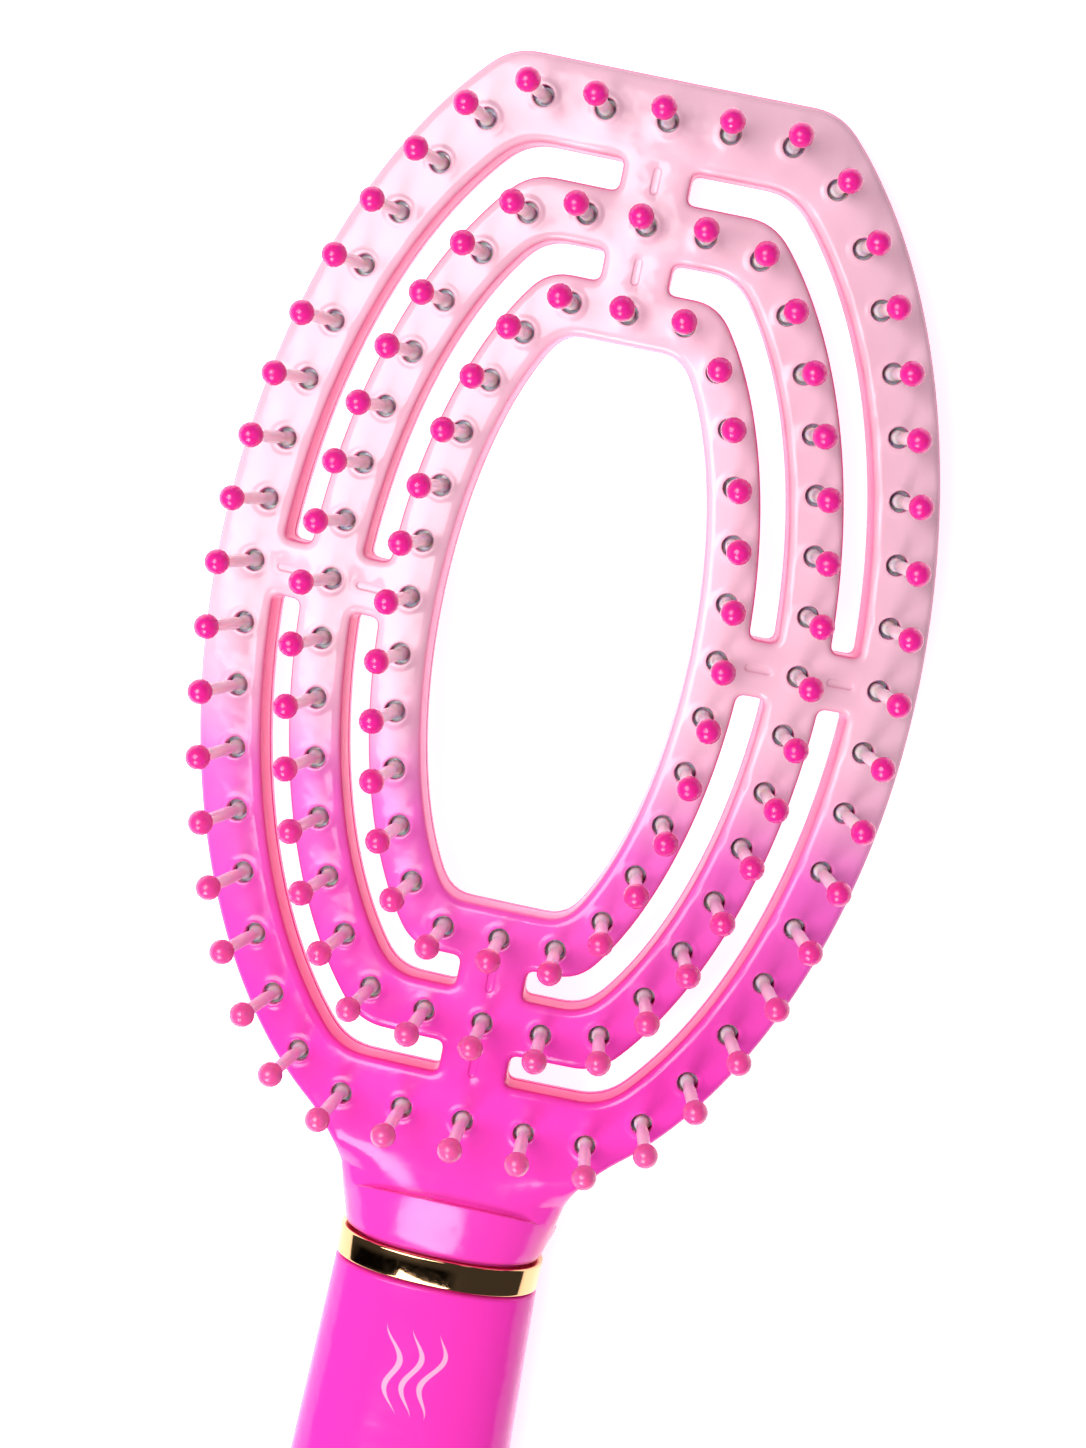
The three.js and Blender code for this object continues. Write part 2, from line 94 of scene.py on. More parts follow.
# Depths below the face.
FACE_PLATE = 1.3
SPLIT_DEPTH = 4.4
BACK_TOP = 4.62
HEAD_THICKNESS = 6.2
WALL = 1.0
STRIP_TOP = 1.6
STRIP_BOTTOM = 2.4
STRIP_HALF_WIDTH = 1.15
STRIP_FLAT = 1.15
STRIP_OVERHANG = 2.5

# Spokes that join the rings.
SPOKE_HALF_WIDTH_ENDS = 3.9
SPOKE_HALF_WIDTH_SIDES = 3.2
PEG_RADIUS = 0.9
PEG_TOP = 2.8

# Collar, neck and handle, along Y.
COLLAR_TOP = 1.0
COLLAR_BOTTOM = -2.4
GRIP_MID = -8.1
OVAL_POWER = 2.3
OVAL_SIDES = 96
TANG_END = -34
SCREW_TIP = -26
WEB_BOTTOM = -39.3
HANDLE_TOP = -2.7
HANDLE_END = -107
CAP_END = -113
HANDLE_SAG = 2.4

# Shallow groove on each spoke.
GROOVE_LENGTH = 3.3
GROOVE_HALF_WIDTH = 0.55
GROOVE_DEPTH = 0.26
GROOVE_END_STEPS = 6
GROOVE_PROFILE = ((0.0, 0.0), (-0.1, 0.06), (-0.2, 0.24), (-0.26, GROOVE_DEPTH))

# Edge of a hole, and the small bevel at the joint line of the shells: insets and depths.
HOLE_EDGE = ((0.0, 0.16), (0.03, 0.34))
SEAM_BEVEL = (0.12, 0.15)
WALL_SPACING = 1.6

# Circles of points round each hole that carry its lip, and how far they keep from other edges.
LIP_CIRCLES = (0.1, 0.28, 0.48, 0.72, 1.0)
LIP_CLEARANCE = 0.3
LIP_CREST = 0.28
LIP_FADE_DEPTH = 0.6

# Rear shell.
BACK_ROUND = 0.75
BACK_BEVEL = 0.12
PEG_FOOT = 0.5
BACK_GRID = 1.6

# Strips, pads and pins.
BAR_EDGE_STEPS = 2
STRIP_EDGE = 0.15
PAD_TOP = 2.7
PAD_BOTTOM = 4.4
PAD_EDGE = 0.4
PIN_SIDES = 16
BALL_STEPS = 7
# Root of a pin: shares of its radius and heights above the face. The foot is inside the strip.
PIN_ROOT = ((1.0, None), (1.0, -0.45), (0.95, -0.15), (0.84, 0.1), (0.73, 0.4), (0.68, 1.3))
STEM_TOP_SHARE = 1.1
STEM_TOP_HEIGHT = 3.6
BALL_TOP_ANGLE = math.radians(80)

# Collar: half width and half depth, outside and inside.
COLLAR = (12.0, 8.2)
COLLAR_BORE = (10.9, 7.1)
COLLAR_EDGE = 0.32
COLLAR_EDGE_STEPS = 5
COLLAR_SIDES = 128

# Fade of the head's colour: from the neck colour at the low end to the tip colour at the high.
FADE_LOW = 26
FADE_HIGH = 68
FADE_LILAC = (0.93, 0.16, 0.62)
# Painted shade on the walls: how far its deeper pink follows the fade, and the tilts of the normal between
# which the face's colour gives way to it.
WALL_SHADE_FADE = 0.22
WALL_SHADE_TILT = (0.3, 0.75)

# Print on the handle: three wavy strands of hair. Each is its middle, its lean and its phase.
PRINT_Y = -13.0
PRINT_WAVE = 7.5
PRINT_SWING = 0.85
PRINT_HALF_LENGTH = 5.4
PRINT_HALF_WIDTH = 0.42
PRINT_SOFT = 0.12
PRINT_STRANDS = ((-2.3, -0.14, 0.4), (0.0, 0.0, 0.0), (2.3, 0.14, -0.4))

# Neck: a shoulder band flares up from the collar and ends in a crease, higher at the front.
SHOULDER_SIDE = 5.0
SHOULDER_OVERLAP = 0.3
NECK_ROLL_FULL = 6.5
NECK_ROLL_START = 13.0
NECK_ROLL_DEPTH = 8.0
NECK_ROLL_LIMIT = 0.93
NECK_ROLL_UNDER = 0.6
SHOULDER_RISE = 3.0
SHOULDER_HALF_WIDE = 12.7
SHOULDER_HALF_DEEP = 9.0
SHOULDER_DIP = 1.6
SHOULDER_DIP_SPAN = 2.2
# Slices of the shoulder: y, half width and half depth.
SHOULDER_SLICES = (
    (1.35, 11.4, 7.45),
    (1.6, 11.6, 7.65),
    (2.4, 11.85, 7.95),
    (3.2, 12.1, 8.3),
    (4.0, 12.4, 8.65),
    (4.7, 12.65, 8.95),
    (5.0, SHOULDER_HALF_WIDE, SHOULDER_HALF_DEEP),
    (5.15, 12.6, 8.9),
    (5.35, 12.0, 8.3),
    (5.5, 11.0, 7.3),
)

# Below the shell the neck swells to the oval of the collar: y, half width, top, bottom, as depths.
NECK_SLABS = (
    (14.0, 14.2, 1.2, 4.2),
    (12.2, 14.1, 1.2, 4.3),
    (11.35, 14.0, 1.1, 6.0),
    (10.4, 13.7, 1.0, 7.2),
    (9.0, 13.2, 0.9, 9.1),
    (7.2, 12.85, 0.6, 11.4),
    (5.6, 12.6, 0.9, 13.4),
    (4.0, 12.0, 0.9, 15.2),
    (2.6, 11.4, 0.9, 15.6),
)
NECK_POWER = 2.4
SPIGOT = (10.6, 6.8)
TANG = (6.5, 3.8)
BLADE_POWER = 5
BLADE_SIDES = 48
SCREW_RADIUS = 1.35
SCREW_SIDES = 24
CLEARANCE = 0.3

# Handle: y, half width, half depth.
GRIP_STATIONS = (
    (HANDLE_TOP, 11.9, 8.1),
    (-12, 12.2, 8.4),
    (-26, 12.7, 8.8),
    (-42, 13.2, 9.1),
    (-60, 13.5, 9.2),
    (-78, 13.3, 9.0),
    (-94, 12.6, 8.5),
    (HANDLE_END, 11.6, 7.9),
)
GRIP_STEP = 3.0
HANDLE_WALL = 2.2
HANDLE_EDGE = 0.45
HOLLOW_HEIGHTS = (WEB_BOTTOM, -50, -60, -70, -80, -92, HANDLE_END + 1, HANDLE_END - 2)

# End cap: steps of its dome, its flat end, its shadow line and its rounded edge.
CAP_STEPS = 10
CAP_FLAT = (7.2, 4.2)
CAP_PLUG = (6, 1)
CAP_SHADOW = 0.4
CAP_ROUND = 0.3
CAP_INSET = 0.1

# Angles, in degrees, up to which edges are shaded smooth.
SHELL_SMOOTH = 32
SMALL_SMOOTH = 40

# Lowest and highest roughness of each gloss, and the softness of the pins' nylon.
HEAD_GLOSS = (0.12, 0.22)
HANDLE_GLOSS = (0.12, 0.2)
PIN_GLOSS = (0.14, 0.26)
GOLD_GLOSS = (0.04, 0.1)
STEEL_GLOSS = (0.24, 0.4)
NYLON_HAZE = 0.6
NYLON_HAZE_DEPTH = 1.5

# Lights: places from the middle of the head, and sizes, in metres.
KEY_PLACE = (-0.20, 0.10, 0.52)
KEY_SIZE = 0.34
FILL_PLACE = (-0.10, -0.46, 0.46)
FILL_SIZE = 0.3

# Camera: where it looks, from what side, how far off and how much it is turned.
VIEW_TARGET = (0.172, 65.04, 0.0)
VIEW_AZIMUTH = 3.22
VIEW_ELEVATION = 11.79
VIEW_DISTANCE = 500
VIEW_ROLL = 11.31
VIEW_LENS = 148.2

# Parts of the surround: lowest and highest value of a direction's axis, and its soft edge.
DARK_ACROSS = (-0.95, 0.12, 0.06)
DARK_ALONG = (-0.47, -0.25, 0.03)
DARK_TONE = 0.03
BRIGHT_ACROSS = (-0.62, -0.12, 0.04)
BRIGHT_ALONG = (-0.2, 0.45, 0.04)
BRIGHT_TONE = 2.3

# How finely the head is meshed.
EDGE_SPACING = 0.8
GRID_SPACING = 1.1
GRID_CLEARANCE = 0.55
HOLE_SIDES = 20
RIM_STEPS = 4
FILLET_STEPS = 6

# The frame fixes where the layout sits: the collar's top edge and its middle.
COLLAR_LOW, COLLAR_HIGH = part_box("collar")
LAYOUT_Y = COLLAR_HIGH.y - COLLAR_TOP * MM
LAYOUT_Z = (COLLAR_LOW.z + COLLAR_HIGH.z) / 2 - GRIP_MID * MM


# ------------------------------------------------------------------ sizes and colours


def size(name, about, default, low, high):
    """A size in millimetres that the panel can change between two limits."""
    return bpy.props.FloatProperty(name=name, description=about, default=default, min=low, max=high)


def colour(name, about, *default):
    return bpy.props.FloatVectorProperty(name=name, description=about, subtype="COLOR", default=default)


def strength(name, about, default, subtype="NONE"):
    return bpy.props.FloatProperty(name=name, description=about, default=default, min=0.0, subtype=subtype)


class HeadSizes(bpy.types.PropertyGroup):
    """Sizes of the two shells of the head, in millimetres."""

    rim_width: size("Rim width", "Width of the rounded rim of each opening", 1.05, 0.3, 1.6)
    rim_depth: size("Rim depth", "Depth of the rounded rim", 0.85, 0.2, 1.2)
    slot_corner: size("Slot corner", "How far each slot's corner is cut back", 1.0, 0.3, 1.5)
    hole_radius: size("Hole radius", "Radius of the hole round each pin", 1.2, 1.0, 1.6)
    lip_height: size("Lip height", "Height of the soft lip round each hole", 0.1, 0.0, 0.4)
    lip_reach: size("Lip reach", "Radius at which the lip has died away", 2.1, 1.8, 3.0)


class PinSizes(bpy.types.PropertyGroup):
    """Sizes of a pin, in millimetres."""

    root_radius: size("Root radius", "Radius of a pin at the strip", 0.84, 0.7, 1.25)
    stem_radius: size("Stem radius", "Radius of a pin below its ball", 0.66, 0.4, 1.0)
    ball_radius: size("Ball radius", "Radius of the ball end", 1.44, 0.8, 1.5)
    ball_height: size("Ball height", "Height of the ball's centre above the face", 12.92, 8.0, 13.0)


class BrushColours(bpy.types.PropertyGroup):
    """Colours of the brush and its studio."""

    tip_pink: colour("Tip", "Head colour at the tip", 0.95, 0.56, 0.69)
    neck_pink: colour("Neck", "Head colour at the neck", 0.93, 0.05, 0.50)
    # Painted shade: the deeper pink of the walls stands in for the shade on the sides of the openings, which
    # face away from the lights.
    wall_shade_pink: colour("Walls", "Colour of the moulding where none is sprayed on", 0.90, 0.045, 0.34)
    handle_pink: colour("Handle", "Colour of the handle", 0.93, 0.042, 0.49)
    print_pink: colour("Print", "Colour of the printed strands", 0.95, 0.42, 0.66)
    stem_pink: colour("Stems", "Colour of the pins' stems", 0.95, 0.80, 0.87)
    ball_pink: colour("Balls", "Colour of the ball ends", 0.84, 0.022, 0.33)
    nylon_white: colour("Strips", "Colour of the strips and pin roots", 0.95, 0.93, 0.95)
    gold: colour("Gold", "Colour of the collar's plating", 0.78, 0.47, 0.24)
    floor: colour("Floor", "Colour of the studio floor", 0.93, 0.93, 0.93)


class StudioSettings(bpy.types.PropertyGroup):
    """Strengths of the studio's lights."""

    key_power: strength("Key", "Power of the key light", 2.9, "POWER")
    fill_power: strength("Fill", "Power of the low light", 2.6, "POWER")
    sky_strength: strength("Surround", "Strength of the pale surround", 1.2)
    floor_glow: strength("Floor glow", "Light given off by the floor, as a light table does", 0.8)


# ------------------------------------------------------------------ lines in the flat layout


class Line:
    """A line through points, measured along its length."""

    def __init__(self, points):
        self.points = points
        self.reach = [0.0]
        for start, end in zip(points, points[1:]):
            self.reach.append(self.reach[-1] + (end - start).length)
        self.length = self.reach[-1]

    def at(self, distance):
        after = min(max(bisect_right(self.reach, distance), 1), len(self.points) - 1)
        span = self.reach[after] - self.reach[after - 1]
        return self.points[after - 1].lerp(self.points[after], (distance - self.reach[after - 1]) / span)

    def spaced(self, spacing, cut=0.0):
        """Points evenly spaced along the line, with its ends cut back."""
        span = self.length - 2 * cut
        steps = max(round(span / spacing), 1)
        return [self.at(cut + span * step / steps) for step in range(steps + 1)]


def rounded_smaller(first, second, round_off):
    """The smaller of two lengths, with the corner between them rounded off."""
    blend = max(round_off - abs(first - second), 0)
    return min(first, second) - blend * blend / (4 * round_off)


class Edge:
    """Edge of a ring: an ellipse, cut flat at its ends, with rounded corners."""

    def __init__(self, wide, tall, low_tall=None, low_far=None):
        self.wide = wide
        self.upper = (tall, tall * ELLIPSE_REACH)
        self.lower = (low_tall, low_far) if low_tall else self.upper

    def point(self, angle):
        way = -1 if math.sin(angle) < 0 else 1
        tall, far = self.upper if way > 0 else self.lower
        rise = rounded_smaller(far * abs(math.sin(angle)), tall, CORNER_ROUND)
        return Vector((self.wide * math.cos(angle), HEAD_MIDDLE + way * rise))

    def arc(self, start, end, steps=1440):
        """Points clockwise from one angle to another, in turns from the top of the head."""
        turns = [start + (end - start) * step / steps for step in range(steps + 1)]
        return [self.point(math.pi / 2 - 2 * math.pi * turn) for turn in turns]

    def loop(self, spacing=EDGE_SPACING, clockwise=True):
        points = Line(self.arc(0, 1)).spaced(spacing)[:-1]
        return points if clockwise else points[::-1]


class Ring:
    """One of the three rings of the head, and the line that its pins stand on."""

    def __init__(self, name, outside, inside, pin_line, pins_per_quarter):
        self.name = name
        self.outside = outside
        self.inside = inside
        self.pins_per_quarter = pins_per_quarter
        self.line = Line(pin_line.arc(0, 1))

    def pin_place(self, pin):
        return self.line.at(self.line.length * ((pin / (4 * self.pins_per_quarter)) % 1))

    def pin_ahead(self, pin):
        return (self.pin_place(pin + 0.1) - self.pin_place(pin - 0.1)).normalized()

    def pins(self, quarter):
        return range(quarter * self.pins_per_quarter, (quarter + 1) * self.pins_per_quarter)


OUTER = Ring("outer", Edge(40.7, 62.1, 63.6, 66), Edge(33.4, 52.5), Edge(36.1, 57.4), 11)
MIDDLE = Ring("middle", Edge(30.1, 48.9), Edge(24.0, 42.3), Edge(26.9, 45.7), 9)
INNER = Ring("inner", Edge(20.8, 38.8), Edge(14.7, 32.4), Edge(17.7, 35.8), 7)
RINGS = (OUTER, MIDDLE, INNER)
QUARTERS = ("upper_right", "lower_right", "lower_left", "upper_left")
HOLES = [ring.pin_place(pin) for ring in RINGS for quarter in range(4) for pin in ring.pins(quarter)]

# The outline leaves the outer ring here and flares down to the neck: half width and y.
NECK_FLARE = ((16.8, 14.9), (14.35, 11.9), (13.3, 8.8), (12.85, 7.0))
# Inside the shoulder it narrows, out of sight.
NECK_HIDDEN = ((12.0, 6.0), (10.4, 5.0), (9.6, 3.6))
FLARE_START = 19.5


def through(points, steps=8):
    """A smooth line through all of the points."""
    ends = [points[0] * 2 - points[1], *points, points[-1] * 2 - points[-2]]
    line = []
    for before, start, end, after in zip(ends, ends[1:], ends[2:], ends[3:]):
        for step in range(steps):
            t = step / steps
            line.append(0.5 * (
                2 * start + (end - before) * t + (2 * before - 5 * start + 4 * end - after) * t ** 2
                + (3 * start - before - 3 * end + after) * t ** 3))
    return line + [points[-1]]


def mirrored(points, across_x=False, across_y=False):
    """Points mirrored about the middle of the head; one mirror turns their order round."""
    turned = [
        Vector((-point.x if across_x else point.x, 2 * HEAD_MIDDLE - point.y if across_y else point.y))
        for point in points]
    return turned[::-1] if across_x != across_y else turned


def outline():
    """Outer edge of the face shell and its neck, anticlockwise."""
    ring = [point for point in OUTER.outside.arc(0, 0.5)
            if point.y > HEAD_MIDDLE or point.x > FLARE_START]
    flare = through([ring[-1], *(Vector(place) for place in NECK_FLARE)])
    hidden = [Vector(place) for place in NECK_HIDDEN]
    right = Line(ring + flare[1:] + hidden).spaced(EDGE_SPACING)
    foot = Line([right[-1], Vector((-right[-1].x, right[-1].y))]).spaced(EDGE_SPACING)[1:-1]
    left = [Vector((-point.x, point.y)) for point in right[:0:-1]]
    return (right + foot + left)[::-1]


def filleted(sides, cut):
    """Joins open lines into one loop, with each corner between them rounded."""
    lines = [Line(side).spaced(EDGE_SPACING, cut) for side in sides]
    loop = []
    for index, line in enumerate(lines):
        corner = sides[index][-1]
        end = lines[(index + 1) % len(lines)][0]
        loop += line
        for step in range(1, FILLET_STEPS):
            t = step / FILLET_STEPS
            loop.append(line[-1] * (1 - t) ** 2 + corner * (2 * t * (1 - t)) + end * t ** 2)
    return loop


def slots(cut):
    """The eight slots between the rings, clockwise."""
    found = []
    for small, large in ((MIDDLE, OUTER), (INNER, MIDDLE)):
        far, near = (
            [point for point in edge.arc(0, 0.25)
             if point.x >= SPOKE_HALF_WIDTH_ENDS and point.y >= HEAD_MIDDLE + SPOKE_HALF_WIDTH_SIDES]
            for edge in (large.inside, small.outside))
        near.reverse()
        slot = filleted([far, [far[-1], near[0]], near, [near[-1], far[0]]], cut)
        found += [mirrored(slot, across_x, across_y)
                  for across_x in (False, True) for across_y in (False, True)]
    return found


def spoke_middles():
    """Middle of each spoke and the way that it runs."""
    found = []
    for small, large in ((MIDDLE, OUTER), (INNER, MIDDLE)):
        for quarter in range(4):
            start = small.outside.point(quarter * math.pi / 2)
            end = large.inside.point(quarter * math.pi / 2)
            found.append(((start + end) / 2, (end - start).normalized()))
    return found


# ------------------------------------------------------------------ from flat to the dome


def placed(x, y, z):
    """A point of the layout, in metres, where the frame has it."""
    return Vector((x * MM, LAYOUT_Y + y * MM, LAYOUT_Z + z * MM))


def face_normal(flat):
    return Vector((flat.x / DOME_ACROSS, flat.y / DOME_ALONG, 1)).normalized()


def on_dome(flat, depth):
    """A point at a depth under the face, square to it, in metres."""
    height = -flat.x ** 2 / (2 * DOME_ACROSS) - flat.y ** 2 / (2 * DOME_ALONG)
    point = Vector((flat.x, flat.y, height)) - face_normal(flat) * depth
    return placed(*point)


def smooth_step(low, high, value):
    t = min(max((value - low) / (high - low), 0), 1)
    return t * t * (3 - 2 * t)


class FaceRelief:
    """Depth of the visible face, with lips round the holes, a rolled neck and a sunk shoulder."""

    def __init__(self, sizes):
        self.sizes = sizes
        self.holes = KDTree(len(HOLES))
        for index, hole in enumerate(HOLES):
            self.holes.insert(hole.to_3d(), index)
        self.holes.balance()

    def lip(self, flat):
        distance = self.holes.find(flat.to_3d())[2] - self.sizes.hole_radius
        fade = self.sizes.lip_reach - self.sizes.hole_radius
        if distance >= fade:
            return 0.0
        if distance < LIP_CREST:
            return self.sizes.lip_height * math.sin(distance / LIP_CREST * math.pi / 2)
        share = (distance - LIP_CREST) / (fade - LIP_CREST)
        return self.sizes.lip_height * (1 + math.cos(math.pi * share)) / 2

    def neck_drop(self, flat):
        """How far the face rolls down at the sides of the neck, to meet the oval shoulder."""
        share = 1 - smooth_step(NECK_ROLL_FULL, NECK_ROLL_START, flat.y)
        if share == 0:
            return 0.0
        reach = min(abs(flat.x) / neck_half_width(flat.y), NECK_ROLL_LIMIT)
        return share * NECK_ROLL_DEPTH * (1 - (1 - reach ** OVAL_POWER) ** (1 / OVAL_POWER))

    def depth(self, flat, depth=0.0):
        dip = SHOULDER_DIP * smooth_step(0, SHOULDER_DIP_SPAN, shoulder_edge(flat.x) - flat.y)
        roll = self.neck_drop(flat) * (1 if depth < SPLIT_DEPTH - 0.5 else NECK_ROLL_UNDER)
        return depth - self.lip(flat) * (1 - smooth_step(0, LIP_FADE_DEPTH, depth)) + dip + roll


# ------------------------------------------------------------------ meshing the head


class Row:
    """A closed row of vertices with their places in the flat layout."""

    def __init__(self, flats, verts):
        self.flats = flats
        self.verts = verts

    def turned_round(self):
        return Row(self.flats[::-1], self.verts[::-1])


def inward(loop):
    """At each point of a loop, the way into the material on its left."""
    ways = []
    for before, after in zip([loop[-1], *loop[:-1]], [*loop[1:], loop[0]]):
        along = (after - before).normalized()
        ways.append(Vector((-along.y, along.x)))
    return ways


def add_row(mesh, loop, inset, depth_at):
    flats = [point + way * inset for point, way in zip(loop, inward(loop))]
    return Row(flats, [mesh.verts.new(on_dome(flat, depth_at(flat))) for flat in flats])


def stitch(mesh, first, second):
    """A closed band of faces between two rows of the same count."""
    count = len(first.verts)
    for index in range(count):
        after = (index + 1) % count
        mesh.faces.new((
            first.verts[index], first.verts[after], second.verts[after], second.verts[index]))


def add_rows(mesh, loop, profile, depth_at):
    """Stitched rows round a loop, each at an inset and a depth. Returns the first and the last."""
    rows = [add_row(mesh, loop, inset, lambda flat, depth=depth: depth_at(flat, depth))
            for inset, depth in profile]
    for first, second in zip(rows, rows[1:]):
        stitch(mesh, first, second)
    return rows[0], rows[-1]


def circle(centre, radius, clockwise=True):
    steps = range(0, -HOLE_SIDES, -1) if clockwise else range(HOLE_SIDES)
    angles = [2 * math.pi * step / HOLE_SIDES for step in steps]
    return [centre + Vector((math.cos(angle), math.sin(angle))) * radius for angle in angles]


def grid_points(rows, spacing, extra=()):
    """Points of an even grid that stay clear of the rows and of the extra points."""
    fixed = [flat for row in rows for flat in row.flats] + list(extra)
    near = KDTree(len(fixed))
    for index, flat in enumerate(fixed):
        near.insert(flat.to_3d(), index)
    near.balance()
    low_x, high_x = min(flat.x for flat in fixed), max(flat.x for flat in fixed)
    low_y, high_y = min(flat.y for flat in fixed), max(flat.y for flat in fixed)
    found = []
    rise = spacing * math.sqrt(3) / 2
    for line in range(int((high_y - low_y) / rise)):
        for step in range(int((high_x - low_x) / spacing)):
            flat = Vector((low_x + (step + (line % 2) / 2) * spacing, low_y + line * rise))
            if near.find(flat.to_3d())[2] > GRID_CLEARANCE:
                found.append(flat)
    return found


def fill(mesh, rows, depth_at, inner=()):
    """Fills what lies to the left of all of the rows with triangles, through the inner points."""
    flats, verts, walls = [], [], []
    for row in rows:
        start, count = len(flats), len(row.flats)
        walls += [(start + index, start + (index + 1) % count) for index in range(count)]
        flats += row.flats
        verts += row.verts
    flats += inner
    verts += [None] * len(inner)
    _, _, triangles, source, _, _ = delaunay_2d_cdt(flats, walls, [], 0, 1e-6, True)
    triangles = [[source[corner][0] for corner in triangle] for triangle in triangles]
    owner = {}
    for index, (a, b, c) in enumerate(triangles):
        if (flats[b] - flats[a]).cross(flats[c] - flats[a]) < 0:
            b, c = c, b
            triangles[index] = [a, b, c]
        owner.update({(a, b): index, (b, c): index, (c, a): index})
    closed = set(walls) | {(end, start) for start, end in walls}
    waiting = [owner[wall] for wall in walls]
    kept = set()
    while waiting:
        index = waiting.pop()
        if index in kept:
            continue
        kept.add(index)
        a, b, c = triangles[index]
        waiting += [owner[(end, start)] for start, end in ((a, b), (b, c), (c, a))
                    if (start, end) not in closed and (end, start) in owner]
    for index in sorted(kept):
        for corner in triangles[index]:
            if verts[corner] is None:
                verts[corner] = mesh.verts.new(on_dome(flats[corner], depth_at(flats[corner])))
        mesh.faces.new([verts[corner] for corner in triangles[index]])


def rim_profile(width, depth, steps=RIM_STEPS):
    """A quarter round from the face down to the wall, as insets and depths."""
    angles = [math.pi / 2 * step / steps for step in range(steps + 1)]
    return [(width * (1 - math.sin(angle)), depth * (1 - math.cos(angle))) for angle in angles]


def finished_object(name, mesh):
    """Makes an object of a closed mesh, with its faces pointing outwards."""
    bmesh.ops.recalc_face_normals(mesh, faces=mesh.faces)
    data = bpy.data.meshes.new(name)
    mesh.to_mesh(data)
    mesh.free()
    piece = bpy.data.objects.new(name, data)
    bpy.context.scene.collection.objects.link(piece)
    return piece


# ------------------------------------------------------------------ working with operators


def select_only(*pieces):
    bpy.ops.object.select_all(action="DESELECT")
    for piece in pieces:
        piece.select_set(True)
    bpy.context.view_layer.objects.active = pieces[-1]


def shade(piece, degrees):
    select_only(piece)
    bpy.ops.object.shade_smooth_by_angle(angle=math.radians(degrees))


def apply_boolean(piece, tools, operation):
    """Joins tools to the piece, or cuts them out of it. The tools are used up."""
    for tool in tools:
        select_only(piece)
        change = piece.modifiers.new(operation, "BOOLEAN")
        change.object = tool
        change.operation = operation
        change.solver = "MANIFOLD"
        bpy.ops.object.modifier_apply(modifier=change.name)
        bpy.data.objects.remove(tool)
    if not piece.data.polygons:
        raise RuntimeError(f"{piece.name} came out empty")


class Section:
    """An oval across the brush at y, with its half sizes and the height of its middle."""

    def __init__(self, y, half_wide, half_deep, mid=GRIP_MID):
        self.y = y
        self.half_wide = half_wide
        self.half_deep = half_deep
        self.mid = mid


def oval_stack(name, sections, power=OVAL_POWER, sides=OVAL_SIDES):
    """A closed bar along Y: an oval disc, extruded and resized from section to section."""
    first = sections[0]
    bpy.ops.object.select_all(action="DESELECT")
    bpy.ops.mesh.primitive_circle_add(vertices=sides, radius=1, fill_type="NGON")
    piece = bpy.context.object
    piece.name = piece.data.name = name
    for vertex in piece.data.vertices:
        across, up = (math.copysign(abs(part) ** (2 / power), part) for part in vertex.co.xy)
        vertex.co = placed(across * first.half_wide, first.y, first.mid + up * first.half_deep)
    bpy.ops.object.mode_set(mode="EDIT")
    bpy.ops.mesh.select_all(action="SELECT")
    for last, section in zip(sections, sections[1:]):
        move = (0, (section.y - last.y) * MM, (section.mid - last.mid) * MM)
        bpy.ops.mesh.extrude_region_move(TRANSFORM_OT_translate={"value": move})
        bpy.ops.transform.resize(
            value=(section.half_wide / last.half_wide, 1, section.half_deep / last.half_deep),
            center_override=placed(0, section.y, section.mid))
    bpy.ops.mesh.select_all(action="SELECT")
    bpy.ops.mesh.normals_make_consistent(inside=False)
    bpy.ops.object.mode_set(mode="OBJECT")
    return piece


def round_bar(name, top, bottom):
    """A round bar along the screw's way, with room round the screw."""
    radius = SCREW_RADIUS + CLEARANCE
    return oval_stack(name, [Section(y, radius, radius) for y in (top, bottom)], 2, SCREW_SIDES)


def between(stations, y):
    """Half width and half depth at y, eased between the stations round it."""
    line = through([Vector(station) for station in stations], steps=12)
    y = min(max(y, line[-1].x), line[0].x)
    start, end = next((start, end) for start, end in zip(line, line[1:]) if end.x <= y)
    return start.lerp(end, (start.x - y) / (start.x - end.x)).yz


# ------------------------------------------------------------------ materials


def new_material(name, roughness, metallic=0.0, specular=0.5, color=None):
    """A material with one shader, whose constant values are on the shader's own sockets."""
    material = bpy.data.materials.new(name)
    material.use_nodes = True
    shader = material.node_tree.nodes["Principled BSDF"]
    shader.inputs["Roughness"].default_value = roughness
    shader.inputs["Metallic"].default_value = metallic
    shader.inputs["Specular IOR Level"].default_value = specular
    if color is not None:
        shader.inputs["Base Color"].default_value = (*color, 1)
        material.diffuse_color = (*color, 1)
    return material, shader


